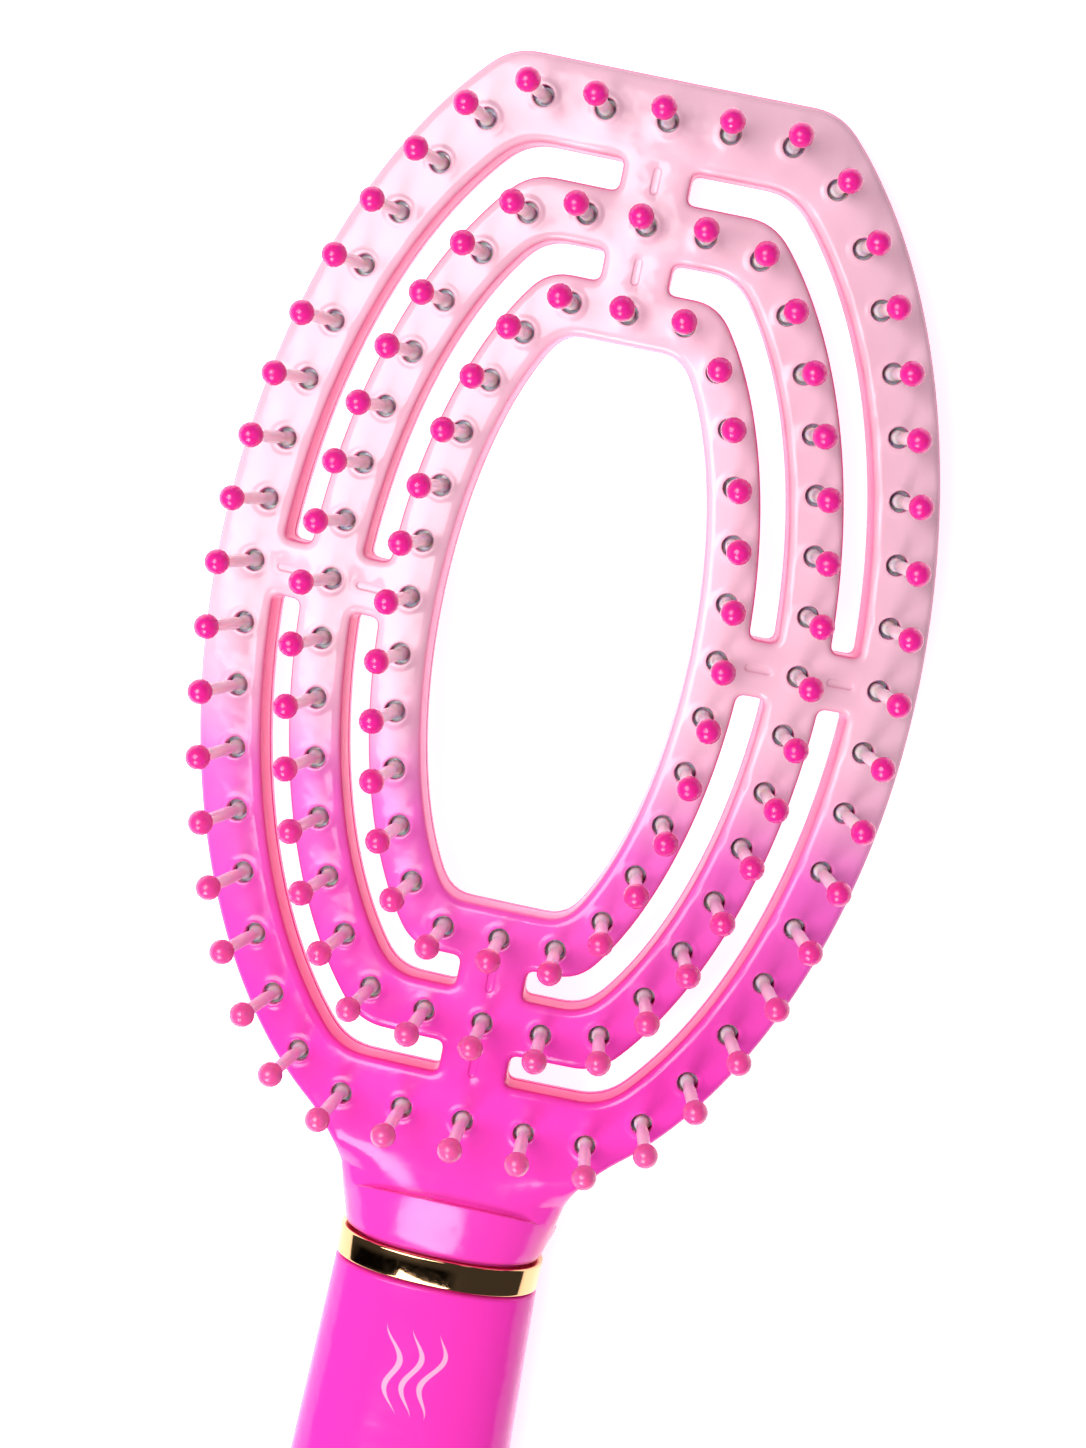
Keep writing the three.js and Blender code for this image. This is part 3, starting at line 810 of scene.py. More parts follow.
class Wiring:
    """Short ways to add and join the nodes of one material."""

    def __init__(self, material):
        self.tree = material.node_tree
        self.place = self.node("ShaderNodeTexCoord").outputs["Object"]

    def node(self, kind, **values):
        made = self.tree.nodes.new(kind)
        for name, value in values.items():
            setattr(made, name, value)
        return made

    def join(self, start, end):
        self.tree.links.new(start, end)

    def feed(self, socket, value):
        if isinstance(value, bpy.types.NodeSocket):
            self.join(value, socket)
        else:
            socket.default_value = value

    def math(self, operation, first, second=0.0, third=0.0):
        made = self.node("ShaderNodeMath", operation=operation)
        for socket, value in zip(made.inputs, (first, second, third)):
            self.feed(socket, value)
        return made.outputs[0]

    def noise(self, scale, detail=2.0, rough=0.5):
        made = self.node("ShaderNodeTexNoise")
        self.join(self.place, made.inputs["Vector"])
        made.inputs["Scale"].default_value = scale
        made.inputs["Detail"].default_value = detail
        made.inputs["Roughness"].default_value = rough
        return made.outputs["Fac"]

    def spread(self, value, low, high, to_low=0.0, to_high=1.0):
        made = self.node("ShaderNodeMapRange")
        names = ("Value", "From Min", "From Max", "To Min", "To Max")
        for name, given in zip(names, (value, low, high, to_low, to_high)):
            self.feed(made.inputs[name], given)
        return made.outputs["Result"]

    def ramp(self, value, stops, smooth=True):
        made = self.node("ShaderNodeValToRGB")
        made.color_ramp.interpolation = "EASE" if smooth else "LINEAR"
        elements = made.color_ramp.elements
        while len(elements) < len(stops):
            elements.new(0.5)
        for element, (position, color) in zip(elements, stops):
            element.position = position
            element.color = (*color, 1)
        self.join(value, made.inputs["Fac"])
        return made.outputs["Color"]

    def mix(self, factor, first, second):
        made = self.node("ShaderNodeMix", data_type="RGBA")
        colors = [socket for socket in made.inputs if socket.type == "RGBA"]
        self.feed(made.inputs["Factor"], factor)
        for socket, value in zip(colors, (first, second)):
            self.feed(socket, value if isinstance(value, bpy.types.NodeSocket) else (*value, 1))
        return next(socket for socket in made.outputs if socket.type == "RGBA")

    def axis(self, name):
        made = self.node("ShaderNodeSeparateXYZ")
        self.join(self.place, made.inputs["Vector"])
        return made.outputs[name]

    def bump(self, shader, height, strength, distance):
        made = self.node("ShaderNodeBump")
        made.inputs["Strength"].default_value = strength
        made.inputs["Distance"].default_value = distance
        self.join(height, made.inputs["Height"])
        self.join(made.outputs["Normal"], shader.inputs["Normal"])


def moulded(wiring, shader, low, high):
    """The faint ripple and uneven gloss of a polished moulding."""
    wiring.bump(shader, wiring.noise(230, 2.0), 0.3, 0.0004)
    wiring.join(wiring.spread(wiring.noise(420, 3.0), 0.3, 0.7, low, high), shader.inputs["Roughness"])


def head_finish():
    """Pink that fades from the neck to the tip on the face, and a deeper pink on the walls that is painted
    shade.
    """
    colours = bpy.context.scene.brush_colours
    tip, neck = Vector(colours.tip_pink), Vector(colours.neck_pink)
    material, shader = new_material("head_fade_pink", 0.16, specular=0.45, color=tip)
    wiring = Wiring(material)
    drift = wiring.math("MULTIPLY_ADD", wiring.noise(55, 2.0), 0.004, -0.002)
    along = wiring.math("ADD", wiring.axis("Y"), drift)
    share = wiring.spread(along, LAYOUT_Y + FADE_LOW * MM, LAYOUT_Y + FADE_HIGH * MM)
    lilac = Vector(FADE_LILAC)
    stops = [
        (0.0, neck),
        (0.24, neck.lerp(lilac, 0.22)),
        (0.42, neck.lerp(lilac, 0.5)),
        (0.62, lilac),
        (0.85, tip.lerp(lilac, 0.25)),
        (1.0, tip),
    ]
    face = wiring.ramp(share, stops, smooth=False)
    # Painted shade: walls that face away from the face get a deeper pink, which follows the fade a little.
    wall = wiring.mix(share, colours.wall_shade_pink, Vector(colours.wall_shade_pink).lerp(tip, WALL_SHADE_FADE))
    facing_out = wiring.node("ShaderNodeAttribute", attribute_name="facing_out").outputs["Fac"]
    wiring.join(wiring.mix(facing_out, wall, face), shader.inputs["Base Color"])
    moulded(wiring, shader, *HEAD_GLOSS)
    return material


def mark_wall_shade(piece):
    """Stores how far each vertex faces out of the face; walls that face away get painted shade, a deeper
    pink.
    """
    layer = piece.data.attributes.new("facing_out", "FLOAT", "POINT")
    layer.data.foreach_set("value", [
        smooth_step(*WALL_SHADE_TILT, vertex.normal.z) for vertex in piece.data.vertices])


def strand_mask(wiring, middle, lean, phase):
    """1 on one printed strand of hair, 0 off it."""
    across = wiring.math("SUBTRACT", wiring.axis("X"), middle * MM)
    along = wiring.math("SUBTRACT", wiring.axis("Y"), LAYOUT_Y + PRINT_Y * MM)
    swing = wiring.math("SINE", wiring.math("MULTIPLY_ADD", along, 2 * math.pi / (PRINT_WAVE * MM), phase))
    line = wiring.math("MULTIPLY_ADD", swing, PRINT_SWING * MM, wiring.math("MULTIPLY", along, lean))
    off = wiring.math("ABSOLUTE", wiring.math("SUBTRACT", across, line))
    share = wiring.math("DIVIDE", along, PRINT_HALF_LENGTH * MM)
    taper = wiring.math("SUBTRACT", 1.0, wiring.math("MULTIPLY", share, share))
    half = wiring.math("MULTIPLY", wiring.math("MAXIMUM", taper, 0.0), PRINT_HALF_WIDTH * MM)
    return wiring.spread(wiring.math("SUBTRACT", half, off), 0.0, PRINT_SOFT * MM)


def handle_finish():
    """Hot pink moulding with three strands of hair printed on its front."""
    colours = bpy.context.scene.brush_colours
    material, shader = new_material("handle_hot_pink", 0.16, specular=0.25, color=colours.handle_pink)
    wiring = Wiring(material)
    masks = [strand_mask(wiring, *strand) for strand in PRINT_STRANDS]
    printed = wiring.math("MAXIMUM", wiring.math("MAXIMUM", masks[0], masks[1]), masks[2])
    front = wiring.math("GREATER_THAN", wiring.axis("Z"), LAYOUT_Z + GRIP_MID * MM)
    inked = wiring.math("MULTIPLY", printed, front)
    cloud = wiring.spread(wiring.noise(40, 2.0), 0.3, 0.7, 0.0, 0.06)
    base = wiring.mix(cloud, colours.handle_pink, Vector(colours.handle_pink) * 0.8)
    wiring.join(wiring.mix(inked, base, colours.print_pink), shader.inputs["Base Color"])
    moulded(wiring, shader, *HANDLE_GLOSS)
    return material


def pin_finish():
    """White roots, pale stems and dipped balls, by height above the face."""
    colours = bpy.context.scene.brush_colours
    pins = bpy.context.scene.pin_sizes
    material, shader = new_material("pin_dipped_nylon", 0.2, color=colours.stem_pink)
    shader.inputs["Subsurface Weight"].default_value = NYLON_HAZE
    shader.inputs["Subsurface Scale"].default_value = NYLON_HAZE_DEPTH * MM
    wiring = Wiring(material)
    reach = wiring.node("ShaderNodeAttribute", attribute_name="reach").outputs["Fac"]
    top = pins.ball_height + pins.ball_radius
    share = wiring.spread(reach, 0.0, top)
    dipped = (pins.ball_height - pins.ball_radius * 0.86) / top
    stops = [
        (0.0, colours.nylon_white),
        (1.2 / top, colours.nylon_white),
        (3.4 / top, colours.stem_pink),
        (dipped - 0.03, colours.stem_pink),
        (dipped, colours.ball_pink),
        (1.0, colours.ball_pink),
    ]
    base = wiring.ramp(share, stops, smooth=False)
    low_down = wiring.spread(wiring.axis("Y"), LAYOUT_Y + 60 * MM, LAYOUT_Y + 20 * MM, 0.0, 0.12)
    is_ball = wiring.math("GREATER_THAN", share, dipped)
    pale = wiring.mix(wiring.math("MULTIPLY", low_down, is_ball), base, colours.stem_pink)
    wiring.join(pale, shader.inputs["Base Color"])
    wiring.bump(shader, wiring.noise(500, 1.0), 0.04, 0.0001)
    wiring.join(wiring.spread(wiring.noise(700, 2.0), 0.3, 0.7, *PIN_GLOSS), shader.inputs["Roughness"])
    return material


def gold_finish():
    """Polished plating with a little wear."""
    colours = bpy.context.scene.brush_colours
    material, shader = new_material("collar_polished_gold", 0.07, metallic=1.0, color=colours.gold)
    wiring = Wiring(material)
    worn = wiring.spread(wiring.noise(300, 3.0), 0.35, 0.75, 0.0, 0.25)
    wiring.join(wiring.mix(worn, colours.gold, Vector(colours.gold) * 0.8), shader.inputs["Base Color"])
    wiring.join(wiring.spread(wiring.noise(1400, 3.0), 0.3, 0.7, *GOLD_GLOSS), shader.inputs["Roughness"])
    wiring.bump(shader, wiring.noise(180, 1.0), 0.05, 0.0002)
    return material


def foam_finish():
    """Open foam cells."""
    material, shader = new_material("pad_foam", 0.9, color=(0.8, 0.78, 0.8))
    wiring = Wiring(material)
    cells = wiring.node("ShaderNodeTexVoronoi")
    wiring.join(wiring.place, cells.inputs["Vector"])
    cells.inputs["Scale"].default_value = 3200
    tone = wiring.spread(cells.outputs["Distance"], 0.0, 0.8)
    wiring.join(wiring.mix(tone, (0.62, 0.6, 0.62), (0.86, 0.84, 0.86)), shader.inputs["Base Color"])
    wiring.bump(shader, cells.outputs["Distance"], 0.5, 0.0002)
    return material


def steel_finish():
    """Plain zinc-plated steel."""
    material, shader = new_material("screw_zinc_steel", 0.3, metallic=1.0, color=(0.62, 0.64, 0.67))
    wiring = Wiring(material)
    tone = wiring.noise(900, 3.0)
    wiring.join(wiring.mix(tone, (0.5, 0.52, 0.55), (0.7, 0.72, 0.74)), shader.inputs["Base Color"])
    wiring.join(wiring.spread(tone, 0.3, 0.7, *STEEL_GLOSS), shader.inputs["Roughness"])
    return material


def give(piece, material):
    piece.data.materials.clear()
    piece.data.materials.append(material)


def complete(piece, material, body, node, degrees=SHELL_SMOOTH):
    """Shades a piece, gives it its finish, hangs it on its body's empty and hides the part of the frame that
    it stands for.
    """
    shade(piece, degrees)
    give(piece, material)
    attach(piece, body)
    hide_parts(node)


def neck_half_width(y):
    """Half width of the neck's outline at y."""
    places = NECK_FLARE[::-1]
    for (near_wide, near_y), (far_wide, far_y) in zip(places, places[1:]):
        if y <= far_y:
            return near_wide + (far_wide - near_wide) * max(y - near_y, 0) / (far_y - near_y)
    return places[-1][0]


def shoulder_edge(x):
    """Where the shoulder's crease crosses the front of the neck, at x."""
    share = min(abs(x) / SHOULDER_HALF_WIDE, 1)
    return SHOULDER_SIDE + SHOULDER_RISE * math.sqrt(1 - share * share) - SHOULDER_OVERLAP


def grip_mid(y):
    share = max(HANDLE_TOP - y, 0) / (HANDLE_TOP - CAP_END)
    return GRIP_MID - HANDLE_SAG * share * share


# ------------------------------------------------------------------ operators


class BRUSH_OT_face_frame(bpy.types.Operator):
    """Front shell of the head, with the neck and the tang in one with it"""

    bl_idname = "brush.face_frame"
    bl_label = "Face frame"

    def execute(self, context):
        sizes = context.scene.head_sizes
        relief = FaceRelief(sizes)
        mesh = bmesh.new()
        rim = rim_profile(sizes.rim_width, sizes.rim_depth)
        wall = [(0.0, SPLIT_DEPTH - SEAM_BEVEL[1]), (SEAM_BEVEL[0], SPLIT_DEPTH)]
        top_rows, bottom_rows, ceiling_rows = [], [], []
        for loop in (outline(), *slots(sizes.slot_corner), INNER.inside.loop()):
            top, bottom = add_rows(mesh, loop, rim + wall, relief.depth)
            top_rows.append(top)
            bottom_rows.append(bottom)
        circles = []
        for hole in HOLES:
            profile = [*HOLE_EDGE, (HOLE_EDGE[-1][0], FACE_PLATE)]
            top, bottom = add_rows(mesh, circle(hole, sizes.hole_radius), profile, relief.depth)
            top_rows.append(top)
            ceiling_rows.append(bottom)
            for radius in LIP_CIRCLES:
                circles += circle(hole, sizes.hole_radius + radius)
        for middle, along in spoke_middles():
            top, bottom = add_rows(mesh, groove(middle, along), GROOVE_PROFILE, relief.depth)
            top_rows.append(top)
            fill(mesh, [bottom.turned_round()], lambda flat: relief.depth(flat, GROOVE_DEPTH))
        circles = clear_of(circles, top_rows, LIP_CLEARANCE)
        inner = grid_points(top_rows, GRID_SPACING, circles)
        fill(mesh, top_rows, relief.depth, circles + inner)
        for ring in RINGS:
            for edge, clockwise in ((ring.inside, True), (ring.outside, False)):
                profile = [(WALL, FACE_PLATE), (WALL, SPLIT_DEPTH)]
                loop = edge.loop(WALL_SPACING, clockwise)
                ceiling, bottom = add_rows(mesh, loop, profile, lambda flat, depth: depth)
                ceiling_rows.append(ceiling)
                bottom_rows.append(bottom.turned_round())
        fill(mesh, ceiling_rows, lambda flat: FACE_PLATE)
        fill(mesh, bottom_rows, lambda flat: SPLIT_DEPTH)
        piece = finished_object("face_frame_shell", mesh)

        apply_boolean(piece, [shoulder_band(), neck_swell(), tang()], "UNION")
        apply_boolean(piece, [round_bar("screw_bore", SCREW_TIP, TANG_END - 1)], "DIFFERENCE")
        # Stores where the painted shade of the walls goes.
        mark_wall_shade(piece)
        complete(piece, shared_finish("head", head_finish), "brush", "face_frame")
        return {"FINISHED"}


def groove(middle, along):
    """A long rounded loop on a spoke, clockwise."""
    across = Vector((-along.y, along.x))
    loop = []
    for way in (1, -1):
        for step in range(GROOVE_END_STEPS + 1):
            angle = math.pi * step / GROOVE_END_STEPS
            ahead = GROOVE_LENGTH / 2 - GROOVE_HALF_WIDTH + GROOVE_HALF_WIDTH * math.sin(angle)
            aside = GROOVE_HALF_WIDTH * math.cos(angle)
            loop.append(middle + way * (along * ahead + across * aside))
    return loop


def clear_of(points, rows, clearance):
    """The points that keep their distance from all of the rows but those of the pin holes."""
    fixed = [flat for row in rows for flat in row.flats if len(row.flats) != HOLE_SIDES]
    near = KDTree(len(fixed))
    for index, flat in enumerate(fixed):
        near.insert(flat.to_3d(), index)
    near.balance()
    return [point for point in points if near.find(point.to_3d())[2] > clearance]


def shoulder_band():
    """The oval band above the collar, pulled up in front to a curved crease."""
    sections = [Section(*values) for values in SHOULDER_SLICES]
    band = oval_stack("shoulder_band", sections)
    front = LAYOUT_Z + GRIP_MID * MM
    start = LAYOUT_Y + sections[0].y * MM
    span = (SHOULDER_SIDE - sections[0].y) * MM
    for vertex in band.data.vertices:
        up = max(vertex.co.z - front, 0) / (SHOULDER_HALF_DEEP * MM)
        share = min((vertex.co.y - start) / span, 1)
        vertex.co.y += SHOULDER_RISE * MM * share * min(up, 1)
    return band


def neck_swell():
    """The thick part of the neck, behind its face."""
    sections = [Section(y, half_wide, (bottom - top) / 2, -(top + bottom) / 2)
                for y, half_wide, top, bottom in NECK_SLABS]
    return oval_stack("neck_swell", sections, NECK_POWER)


def tang():
    """The spigot inside the collar and the blade that goes into the handle."""
    spigot = oval_stack("spigot", [Section(COLLAR_TOP + 2, *SPIGOT), Section(COLLAR_BOTTOM, *SPIGOT)])
    blade = oval_stack("tang_blade", [Section(0, *TANG), Section(TANG_END, *TANG)], BLADE_POWER, BLADE_SIDES)
    apply_boolean(spigot, [blade], "UNION")
    return spigot


class BRUSH_OT_back_frame(bpy.types.Operator):
    """Rear shell of the head, with the pegs that hold it in the front shell"""

    bl_idname = "brush.back_frame"
    bl_label = "Back frame"

    def execute(self, context):
        sizes = context.scene.head_sizes
        mesh = bmesh.new()
        rim = [(inset, HEAD_THICKNESS - depth) for inset, depth in rim_profile(sizes.rim_width, BACK_ROUND)]
        profile = [(BACK_BEVEL, BACK_TOP), (0.0, BACK_TOP + BACK_BEVEL)] + rim[::-1]
        upper, lower = [], []
        loops = (OUTER.outside.loop(clockwise=False), *slots(sizes.slot_corner), INNER.inside.loop())
        for loop in loops:
            top, bottom = add_rows(mesh, loop, profile, lambda flat, depth: depth)
            upper.append(top)
            lower.append(bottom)
        fill(mesh, upper, lambda flat: BACK_TOP)
        fill(mesh, lower, lambda flat: HEAD_THICKNESS, grid_points(lower, BACK_GRID))
        piece = finished_object("back_frame_shell", mesh)
        for middle, _ in spoke_middles():
            apply_boolean(piece, [peg(middle)], "UNION")
        # Stores where the painted shade of the walls goes.
        mark_wall_shade(piece)
        complete(piece, shared_finish("head", head_finish), "brush", "back_frame")
        return {"FINISHED"}


def peg(middle):
    bpy.ops.object.select_all(action="DESELECT")
    bottom = BACK_TOP + PEG_FOOT
    turn = Vector((0, 0, 1)).rotation_difference(face_normal(middle))
    bpy.ops.mesh.primitive_cylinder_add(
        vertices=16, radius=PEG_RADIUS * MM, depth=(bottom - PEG_TOP) * MM,
        location=on_dome(middle, (bottom + PEG_TOP) / 2), rotation=turn.to_euler())
    return bpy.context.object


class BRUSH_OT_pin_strips(bpy.types.Operator):
    """Twelve sprung strips of ball-ended pins"""

    bl_idname = "brush.pin_strips"
    bl_label = "Pin strips"

    def execute(self, context):
        pin = model_pin(context.scene.pin_sizes)
        finish = pin_finish()
        for ring in RINGS:
            for quarter, label in enumerate(QUARTERS):
                node = f"{ring.name}_pins_{label}"
                strip = quarter_bar("strip", ring, quarter, STRIP_TOP, STRIP_BOTTOM, STRIP_EDGE)
                set_reach(strip, lambda place: -STRIP_TOP)
                copies = [pin_copy(pin, ring.pin_place(place)) for place in ring.pins(quarter)]
                select_only(*copies, strip)
                bpy.ops.object.join()
                strip.name = strip.data.name = f"{node}_moulding"
                complete(strip, finish, node, node, SMALL_SMOOTH)
        bpy.data.objects.remove(pin)
        return {"FINISHED"}


def set_reach(piece, reach_of):
    """Stores each vertex's height above the face, in millimetres, for the pin material."""
    layer = piece.data.attributes.new("reach", "FLOAT", "POINT")
    layer.data.foreach_set("value", [reach_of(vertex.co) for vertex in piece.data.vertices])


def model_pin(sizes):
    """One pin on the Z axis: a disc at the root, extruded up the stem and round the ball."""
    foot = -(STRIP_TOP + STRIP_BOTTOM) / 2
    neck = math.sqrt(sizes.ball_radius ** 2 - (sizes.stem_radius * 1.05) ** 2)
    levels = [(sizes.root_radius * share, foot if height is None else height)
              for share, height in PIN_ROOT]
    levels.append((sizes.stem_radius * STEM_TOP_SHARE, STEM_TOP_HEIGHT))
    start = math.asin(-neck / sizes.ball_radius)
    for step in range(BALL_STEPS + 1):
        angle = start + (BALL_TOP_ANGLE - start) * step / BALL_STEPS
        rise = sizes.ball_radius * math.sin(angle)
        levels.append((sizes.ball_radius * math.cos(angle), sizes.ball_height + rise))
    bpy.ops.object.select_all(action="DESELECT")
    bpy.ops.mesh.primitive_circle_add(
        vertices=PIN_SIDES, radius=levels[0][0] * MM, fill_type="NGON", location=(0, 0, 0))
    pin = bpy.context.object
    pin.name = "pin"
    bpy.ops.object.mode_set(mode="EDIT")
    bpy.ops.mesh.select_all(action="SELECT")
    bpy.ops.transform.translate(value=(0, 0, levels[0][1] * MM))
    for (last_radius, last_height), (radius, height) in zip(levels, levels[1:]):
        move = (0, 0, (height - last_height) * MM)
        bpy.ops.mesh.extrude_region_move(TRANSFORM_OT_translate={"value": move})
        growth = radius / last_radius
        bpy.ops.transform.resize(value=(growth, growth, 1), center_override=(0, 0, height * MM))
    bpy.ops.mesh.select_all(action="SELECT")
    bpy.ops.mesh.normals_make_consistent(inside=False)
    bpy.ops.object.mode_set(mode="OBJECT")
    set_reach(pin, lambda place: place.z / MM)
    return pin


def pin_copy(pin, flat):
    """A copy of the pin, standing square on the face."""
    copy = pin.copy()
    copy.data = pin.data.copy()
    bpy.context.scene.collection.objects.link(copy)
    turn = Vector((0, 0, 1)).rotation_difference(face_normal(flat)).to_matrix().to_4x4()
    copy.data.transform(Matrix.Translation(on_dome(flat, 0)) @ turn)
    return copy


def quarter_bar(name, ring, quarter, top, bottom, round_off):
    """A flat bar behind a quarter of a ring's pins, level at each pin, between two depths."""
    pins = list(ring.pins(quarter))
    mesh = bmesh.new()
    rows = []
    for pin in pins:
        flat, ahead = ring.pin_place(pin), ring.pin_ahead(pin)
        normal = face_normal(flat)
        along = ahead.to_3d() - normal * ahead.to_3d().dot(normal)
        along.normalize()
        across = normal.cross(along)
        for way, end in ((-1, pins[0]), (1, pins[-1])):
            reach = along * way * (STRIP_OVERHANG if pin == end else STRIP_FLAT)
            corners = ((-1, top), (1, top), (1, bottom), (-1, bottom))
            rows.append([
                mesh.verts.new(on_dome(flat, depth) + (reach + across * side * STRIP_HALF_WIDTH) * MM)
                for side, depth in corners])
    for first, second in zip(rows, rows[1:]):
        for index in range(4):
            after = (index + 1) % 4
            mesh.faces.new((first[index], first[after], second[after], second[index]))
    mesh.faces.new(rows[0])
    mesh.faces.new(rows[-1][::-1])
    bar = finished_object(name, mesh)
    select_only(bar)
    edge = bar.modifiers.new("edge", "BEVEL")
    edge.width = round_off * MM
    edge.segments = BAR_EDGE_STEPS
    edge.limit_method = "ANGLE"
    bpy.ops.object.modifier_apply(modifier=edge.name)
    return bar


class BRUSH_OT_collar(bpy.types.Operator):
    """Polished band between the neck and the handle"""

    bl_idname = "brush.collar"
    bl_label = "Collar"

    def execute(self, context):
        upper = [Section(COLLAR_TOP - depth, COLLAR[0] - inset, COLLAR[1] - inset)
                 for inset, depth in rim_profile(COLLAR_EDGE, COLLAR_EDGE, COLLAR_EDGE_STEPS)]
        lower = [Section(COLLAR_TOP + COLLAR_BOTTOM - section.y, section.half_wide, section.half_deep)
                 for section in upper[::-1]]
        piece = oval_stack("collar_band", upper + lower, sides=COLLAR_SIDES)
        ends = [Section(y, *COLLAR_BORE) for y in (COLLAR_TOP + 1, COLLAR_BOTTOM - 1)]
        bore = oval_stack("collar_bore", ends, sides=COLLAR_SIDES)
        apply_boolean(piece, [bore], "DIFFERENCE")
        complete(piece, gold_finish(), "brush", "collar", SMALL_SMOOTH)
        return {"FINISHED"}


class BRUSH_OT_handle(bpy.types.Operator):
    """Oval handle, hollow below the socket that takes the tang"""

    bl_idname = "brush.handle"
    bl_label = "Handle"

    def execute(self, context):
        steps = round((HANDLE_TOP - HANDLE_END) / GRIP_STEP)
        heights = [HANDLE_TOP + (HANDLE_END - HANDLE_TOP) * step / steps for step in range(steps + 1)]
        eased = rim_profile(HANDLE_EDGE, HANDLE_EDGE, 4)
        sections = []
        for y in heights:
            half_wide, half_deep = between(GRIP_STATIONS, y)
            if y == heights[0]:
                sections += [Section(y - depth, half_wide - inset, half_deep - inset)
                             for inset, depth in eased]
            elif y == heights[-1]:
                sections += [Section(y + depth, half_wide - inset, half_deep - inset, grip_mid(y))
                             for inset, depth in eased[::-1]]
            else:
                sections.append(Section(y, half_wide, half_deep, grip_mid(y)))
        piece = oval_stack("handle_grip", sections)
        socket = [half + CLEARANCE for half in TANG]
        inside = []
        for y in HOLLOW_HEIGHTS:
            half_wide, half_deep = between(GRIP_STATIONS, max(y, HANDLE_END))
            inside.append(Section(y, half_wide - HANDLE_WALL, half_deep - HANDLE_WALL, grip_mid(y)))
        socket_ends = [Section(y, *socket) for y in (HANDLE_TOP + 1, TANG_END - CLEARANCE)]
        tools = [
            oval_stack("socket", socket_ends, BLADE_POWER, BLADE_SIDES),
            oval_stack("hollow", inside),
            round_bar("screw_way", TANG_END + 1, WEB_BOTTOM - 1),
        ]
        apply_boolean(piece, tools, "DIFFERENCE")
        complete(piece, shared_finish("handle", handle_finish), "brush", "handle_shell")
        return {"FINISHED"}


class BRUSH_OT_end_cap(bpy.types.Operator):
    """Cap that closes the lower end of the handle"""

    bl_idname = "brush.end_cap"
    bl_label = "End cap"

    def execute(self, context):
        half_wide, half_deep = GRIP_STATIONS[-1][1:]
        plug = [half - HANDLE_WALL - CLEARANCE for half in (half_wide, half_deep)]
        top = HANDLE_END - CLEARANCE
        dome_top = top - CAP_ROUND
        drop = dome_top - CAP_END
        dome = (half_wide - CAP_INSET, half_deep - CAP_INSET)
        levels = [(HANDLE_END + height, *plug) for height in CAP_PLUG]
        levels += [(top, *plug), (top, half_wide - CAP_SHADOW, half_deep - CAP_SHADOW), (dome_top, *dome)]
        for step in range(1, CAP_STEPS + 1):
            angle = math.pi / 2 * step / CAP_STEPS
            wide, deep = (half - (half - end) * (1 - math.cos(angle)) for half, end in zip(dome, CAP_FLAT))
            levels.append((dome_top - drop * math.sin(angle), wide, deep))
        sections = [Section(y, wide, deep, grip_mid(y)) for y, wide, deep in levels]
        piece = oval_stack("end_cap_dome", sections)
        complete(piece, shared_finish("handle", handle_finish), "brush", "end_cap")
        return {"FINISHED"}


class BRUSH_OT_inner_parts(bpy.types.Operator):
    """Twelve foam pads behind the strips, and the finish of the screw"""

    bl_idname = "brush.inner_parts"
    bl_label = "Pads and screw"

    def execute(self, context):
        foam = foam_finish()
        for ring in RINGS:
            for quarter, label in enumerate(QUARTERS):
                node = f"{ring.name}_pad_{label}"
                pad = quarter_bar(f"{node}_foam", ring, quarter, PAD_TOP, PAD_BOTTOM, PAD_EDGE)
                complete(pad, foam, "brush", node, SMALL_SMOOTH)
                normals = (face_normal(ring.pin_place(pin)) for pin in ring.pins(quarter))
                ahead = sum(normals, Vector()).normalized()
                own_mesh(pad)
        give(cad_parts["tang_screw"], steel_finish())
        return {"FINISHED"}


class BRUSH_OT_stage(bpy.types.Operator):
    """Pale floor, soft lights and the camera"""

    bl_idname = "brush.stage"
    bl_label = "Stage"

    def execute(self, context):
        scene = context.scene
        studio = scene.studio
        scene.view_settings.view_transform = "Standard"

        bpy.ops.object.select_all(action="DESELECT")
        bpy.ops.mesh.primitive_plane_add(size=4, location=(0, 0, CAD_BOX[0][2]))
        floor = context.object
        floor.name = "studio_floor"
        material, shader = new_material("floor_pale", 0.7, color=scene.brush_colours.floor)
        shader.inputs["Emission Color"].default_value = (1, 1, 1, 1)
        shader.inputs["Emission Strength"].default_value = studio.floor_glow
        wiring = Wiring(material)
        tone = wiring.spread(wiring.noise(30, 3.0), 0.3, 0.7, 0.0, 0.03)
        wiring.join(
            wiring.mix(tone, scene.brush_colours.floor, Vector(scene.brush_colours.floor) * 0.95),
            shader.inputs["Base Color"])
        give(floor, material)

        head = placed(0, HEAD_MIDDLE, 0)
        add_softbox("key_softbox", head + Vector(KEY_PLACE), head, KEY_SIZE, studio.key_power)
        add_softbox("fill_softbox", head + Vector(FILL_PLACE), head, FILL_SIZE, studio.fill_power)
        add_surround(studio.sky_strength)
        add_camera()
        return {"FINISHED"}


def add_softbox(name, place, target, size, power):
    bpy.ops.object.light_add(type="AREA", location=place)
    light = bpy.context.object
    light.name = name
    light.rotation_euler = (place - target).to_track_quat("Z", "Y").to_euler()
    light.data.shape = "SQUARE"
    light.data.size = size
    light.data.energy = power


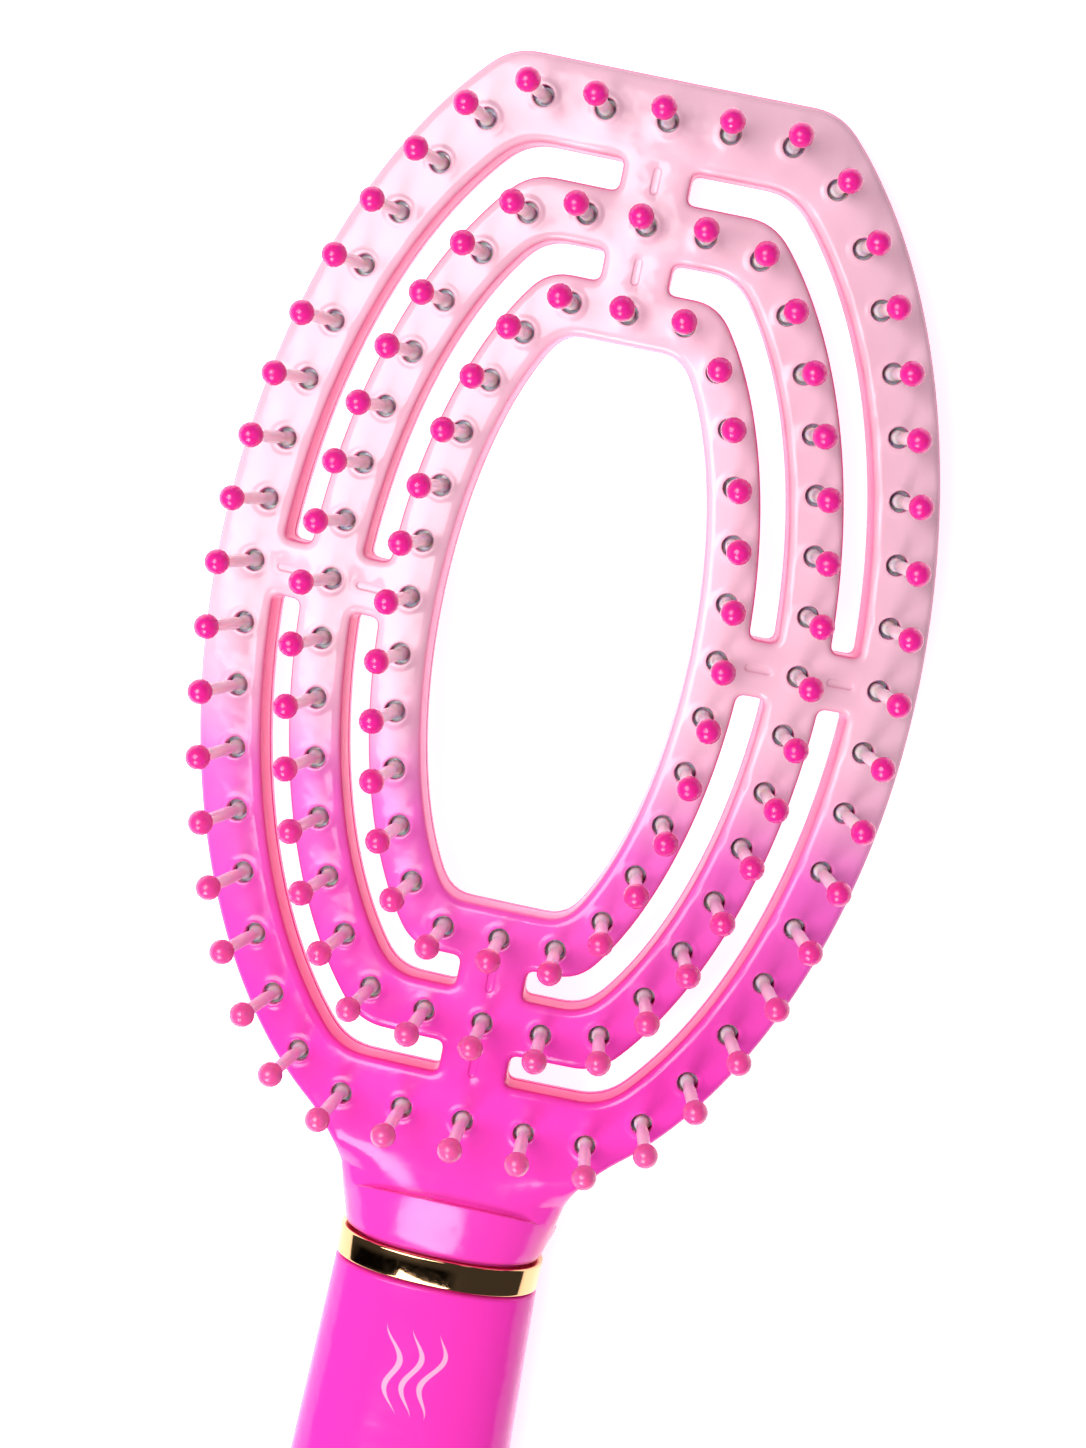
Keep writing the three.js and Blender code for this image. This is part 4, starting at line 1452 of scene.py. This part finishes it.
def add_surround(strength):
    """A pale surround with a dark band low in front, which polished metal shows, and a brighter
    patch over the left of the head, whose reflection the ripples of the shell break up."""
    world = bpy.data.worlds.new("studio_surround")
    bpy.context.scene.world = world
    world.use_nodes = True
    wiring = Wiring(world)
    way = wiring.node("ShaderNodeSeparateXYZ")
    wiring.join(wiring.node("ShaderNodeTexCoord").outputs["Generated"], way.inputs["Vector"])

    def within(axis, low, high, soft):
        """1 between two values of one axis of the direction, 0 outside them."""
        rising = wiring.spread(way.outputs[axis], low - soft, low + soft)
        falling = wiring.spread(way.outputs[axis], high + soft, high - soft)
        return wiring.math("MULTIPLY", rising, falling)

    def patch(across, along):
        above = wiring.spread(way.outputs["Z"], 0.0, 0.1)
        inside = wiring.math("MULTIPLY", within("X", *across), within("Y", *along))
        return wiring.math("MULTIPLY", inside, above)

    dark = patch(DARK_ACROSS, DARK_ALONG)
    bright = patch(BRIGHT_ACROSS, BRIGHT_ALONG)
    shaded = wiring.math("MULTIPLY_ADD", dark, DARK_TONE - 1, 1.0)
    total = wiring.math("MULTIPLY_ADD", bright, BRIGHT_TONE - 1, shaded)
    background = wiring.tree.nodes["Background"]
    wiring.join(wiring.math("MULTIPLY", total, strength), background.inputs["Strength"])


def add_camera():
    angles = (VIEW_AZIMUTH, VIEW_ELEVATION, VIEW_ROLL)
    azimuth, elevation, roll = (math.radians(angle) for angle in angles)
    level = math.cos(elevation)
    back = Vector((math.sin(azimuth) * level, math.sin(elevation), math.cos(azimuth) * level))
    right = Vector((0, 1, 0)).cross(back).normalized()
    up = back.cross(right)
    right, up = (
        right * math.cos(roll) + up * math.sin(roll),
        up * math.cos(roll) - right * math.sin(roll))
    place = placed(*VIEW_TARGET) + back * VIEW_DISTANCE * MM
    bpy.ops.object.camera_add()
    camera = bpy.context.object
    camera.name = "front_camera"
    camera.matrix_world = Matrix.Translation(place) @ Matrix((right, up, back)).transposed().to_4x4()
    camera.data.sensor_fit = "HORIZONTAL"
    camera.data.sensor_width = 36
    camera.data.lens = VIEW_LENS
    camera.data.clip_start = 0.01
    bpy.context.scene.camera = camera


FINISHES = {}


def shared_finish(name, make):
    """A finish that more than one piece has, made once."""
    if name not in FINISHES:
        FINISHES[name] = make()
    return FINISHES[name]


class BRUSH_PT_pieces(bpy.types.Panel):
    """Lists the pieces of the brush and what can be changed about them"""

    bl_idname = "BRUSH_PT_pieces"
    bl_label = "Detangling brush"
    bl_space_type = "VIEW_3D"
    bl_region_type = "UI"
    bl_category = "Brush"

    def draw(self, context):
        for operator in OPERATORS:
            self.layout.operator(operator.bl_idname)
        for name, group in GROUPS.items():
            box = self.layout.box()
            for prop in group.__annotations__:
                box.prop(getattr(context.scene, name), prop)


GROUPS = {
    "head_sizes": HeadSizes,
    "pin_sizes": PinSizes,
    "brush_colours": BrushColours,
    "studio": StudioSettings,
}
OPERATORS = (
    BRUSH_OT_face_frame,
    BRUSH_OT_back_frame,
    BRUSH_OT_pin_strips,
    BRUSH_OT_collar,
    BRUSH_OT_handle,
    BRUSH_OT_end_cap,
    BRUSH_OT_inner_parts,
    BRUSH_OT_stage,
)


def register():
    for name, group in GROUPS.items():
        bpy.utils.register_class(group)
        setattr(bpy.types.Scene, name, bpy.props.PointerProperty(type=group))
    for operator in OPERATORS:
        bpy.utils.register_class(operator)
    bpy.utils.register_class(BRUSH_PT_pieces)


def unregister():
    bpy.utils.unregister_class(BRUSH_PT_pieces)
    for operator in reversed(OPERATORS):
        bpy.utils.unregister_class(operator)
    for name, group in reversed(GROUPS.items()):
        delattr(bpy.types.Scene, name)
        bpy.utils.unregister_class(group)


def main():
    register()
    bpy.ops.brush.face_frame()
    bpy.ops.brush.back_frame()
    bpy.ops.brush.pin_strips()
    bpy.ops.brush.collar()
    bpy.ops.brush.handle()
    bpy.ops.brush.end_cap()
    bpy.ops.brush.inner_parts()
    bpy.ops.brush.stage()


if __name__ == "__main__":
    main()
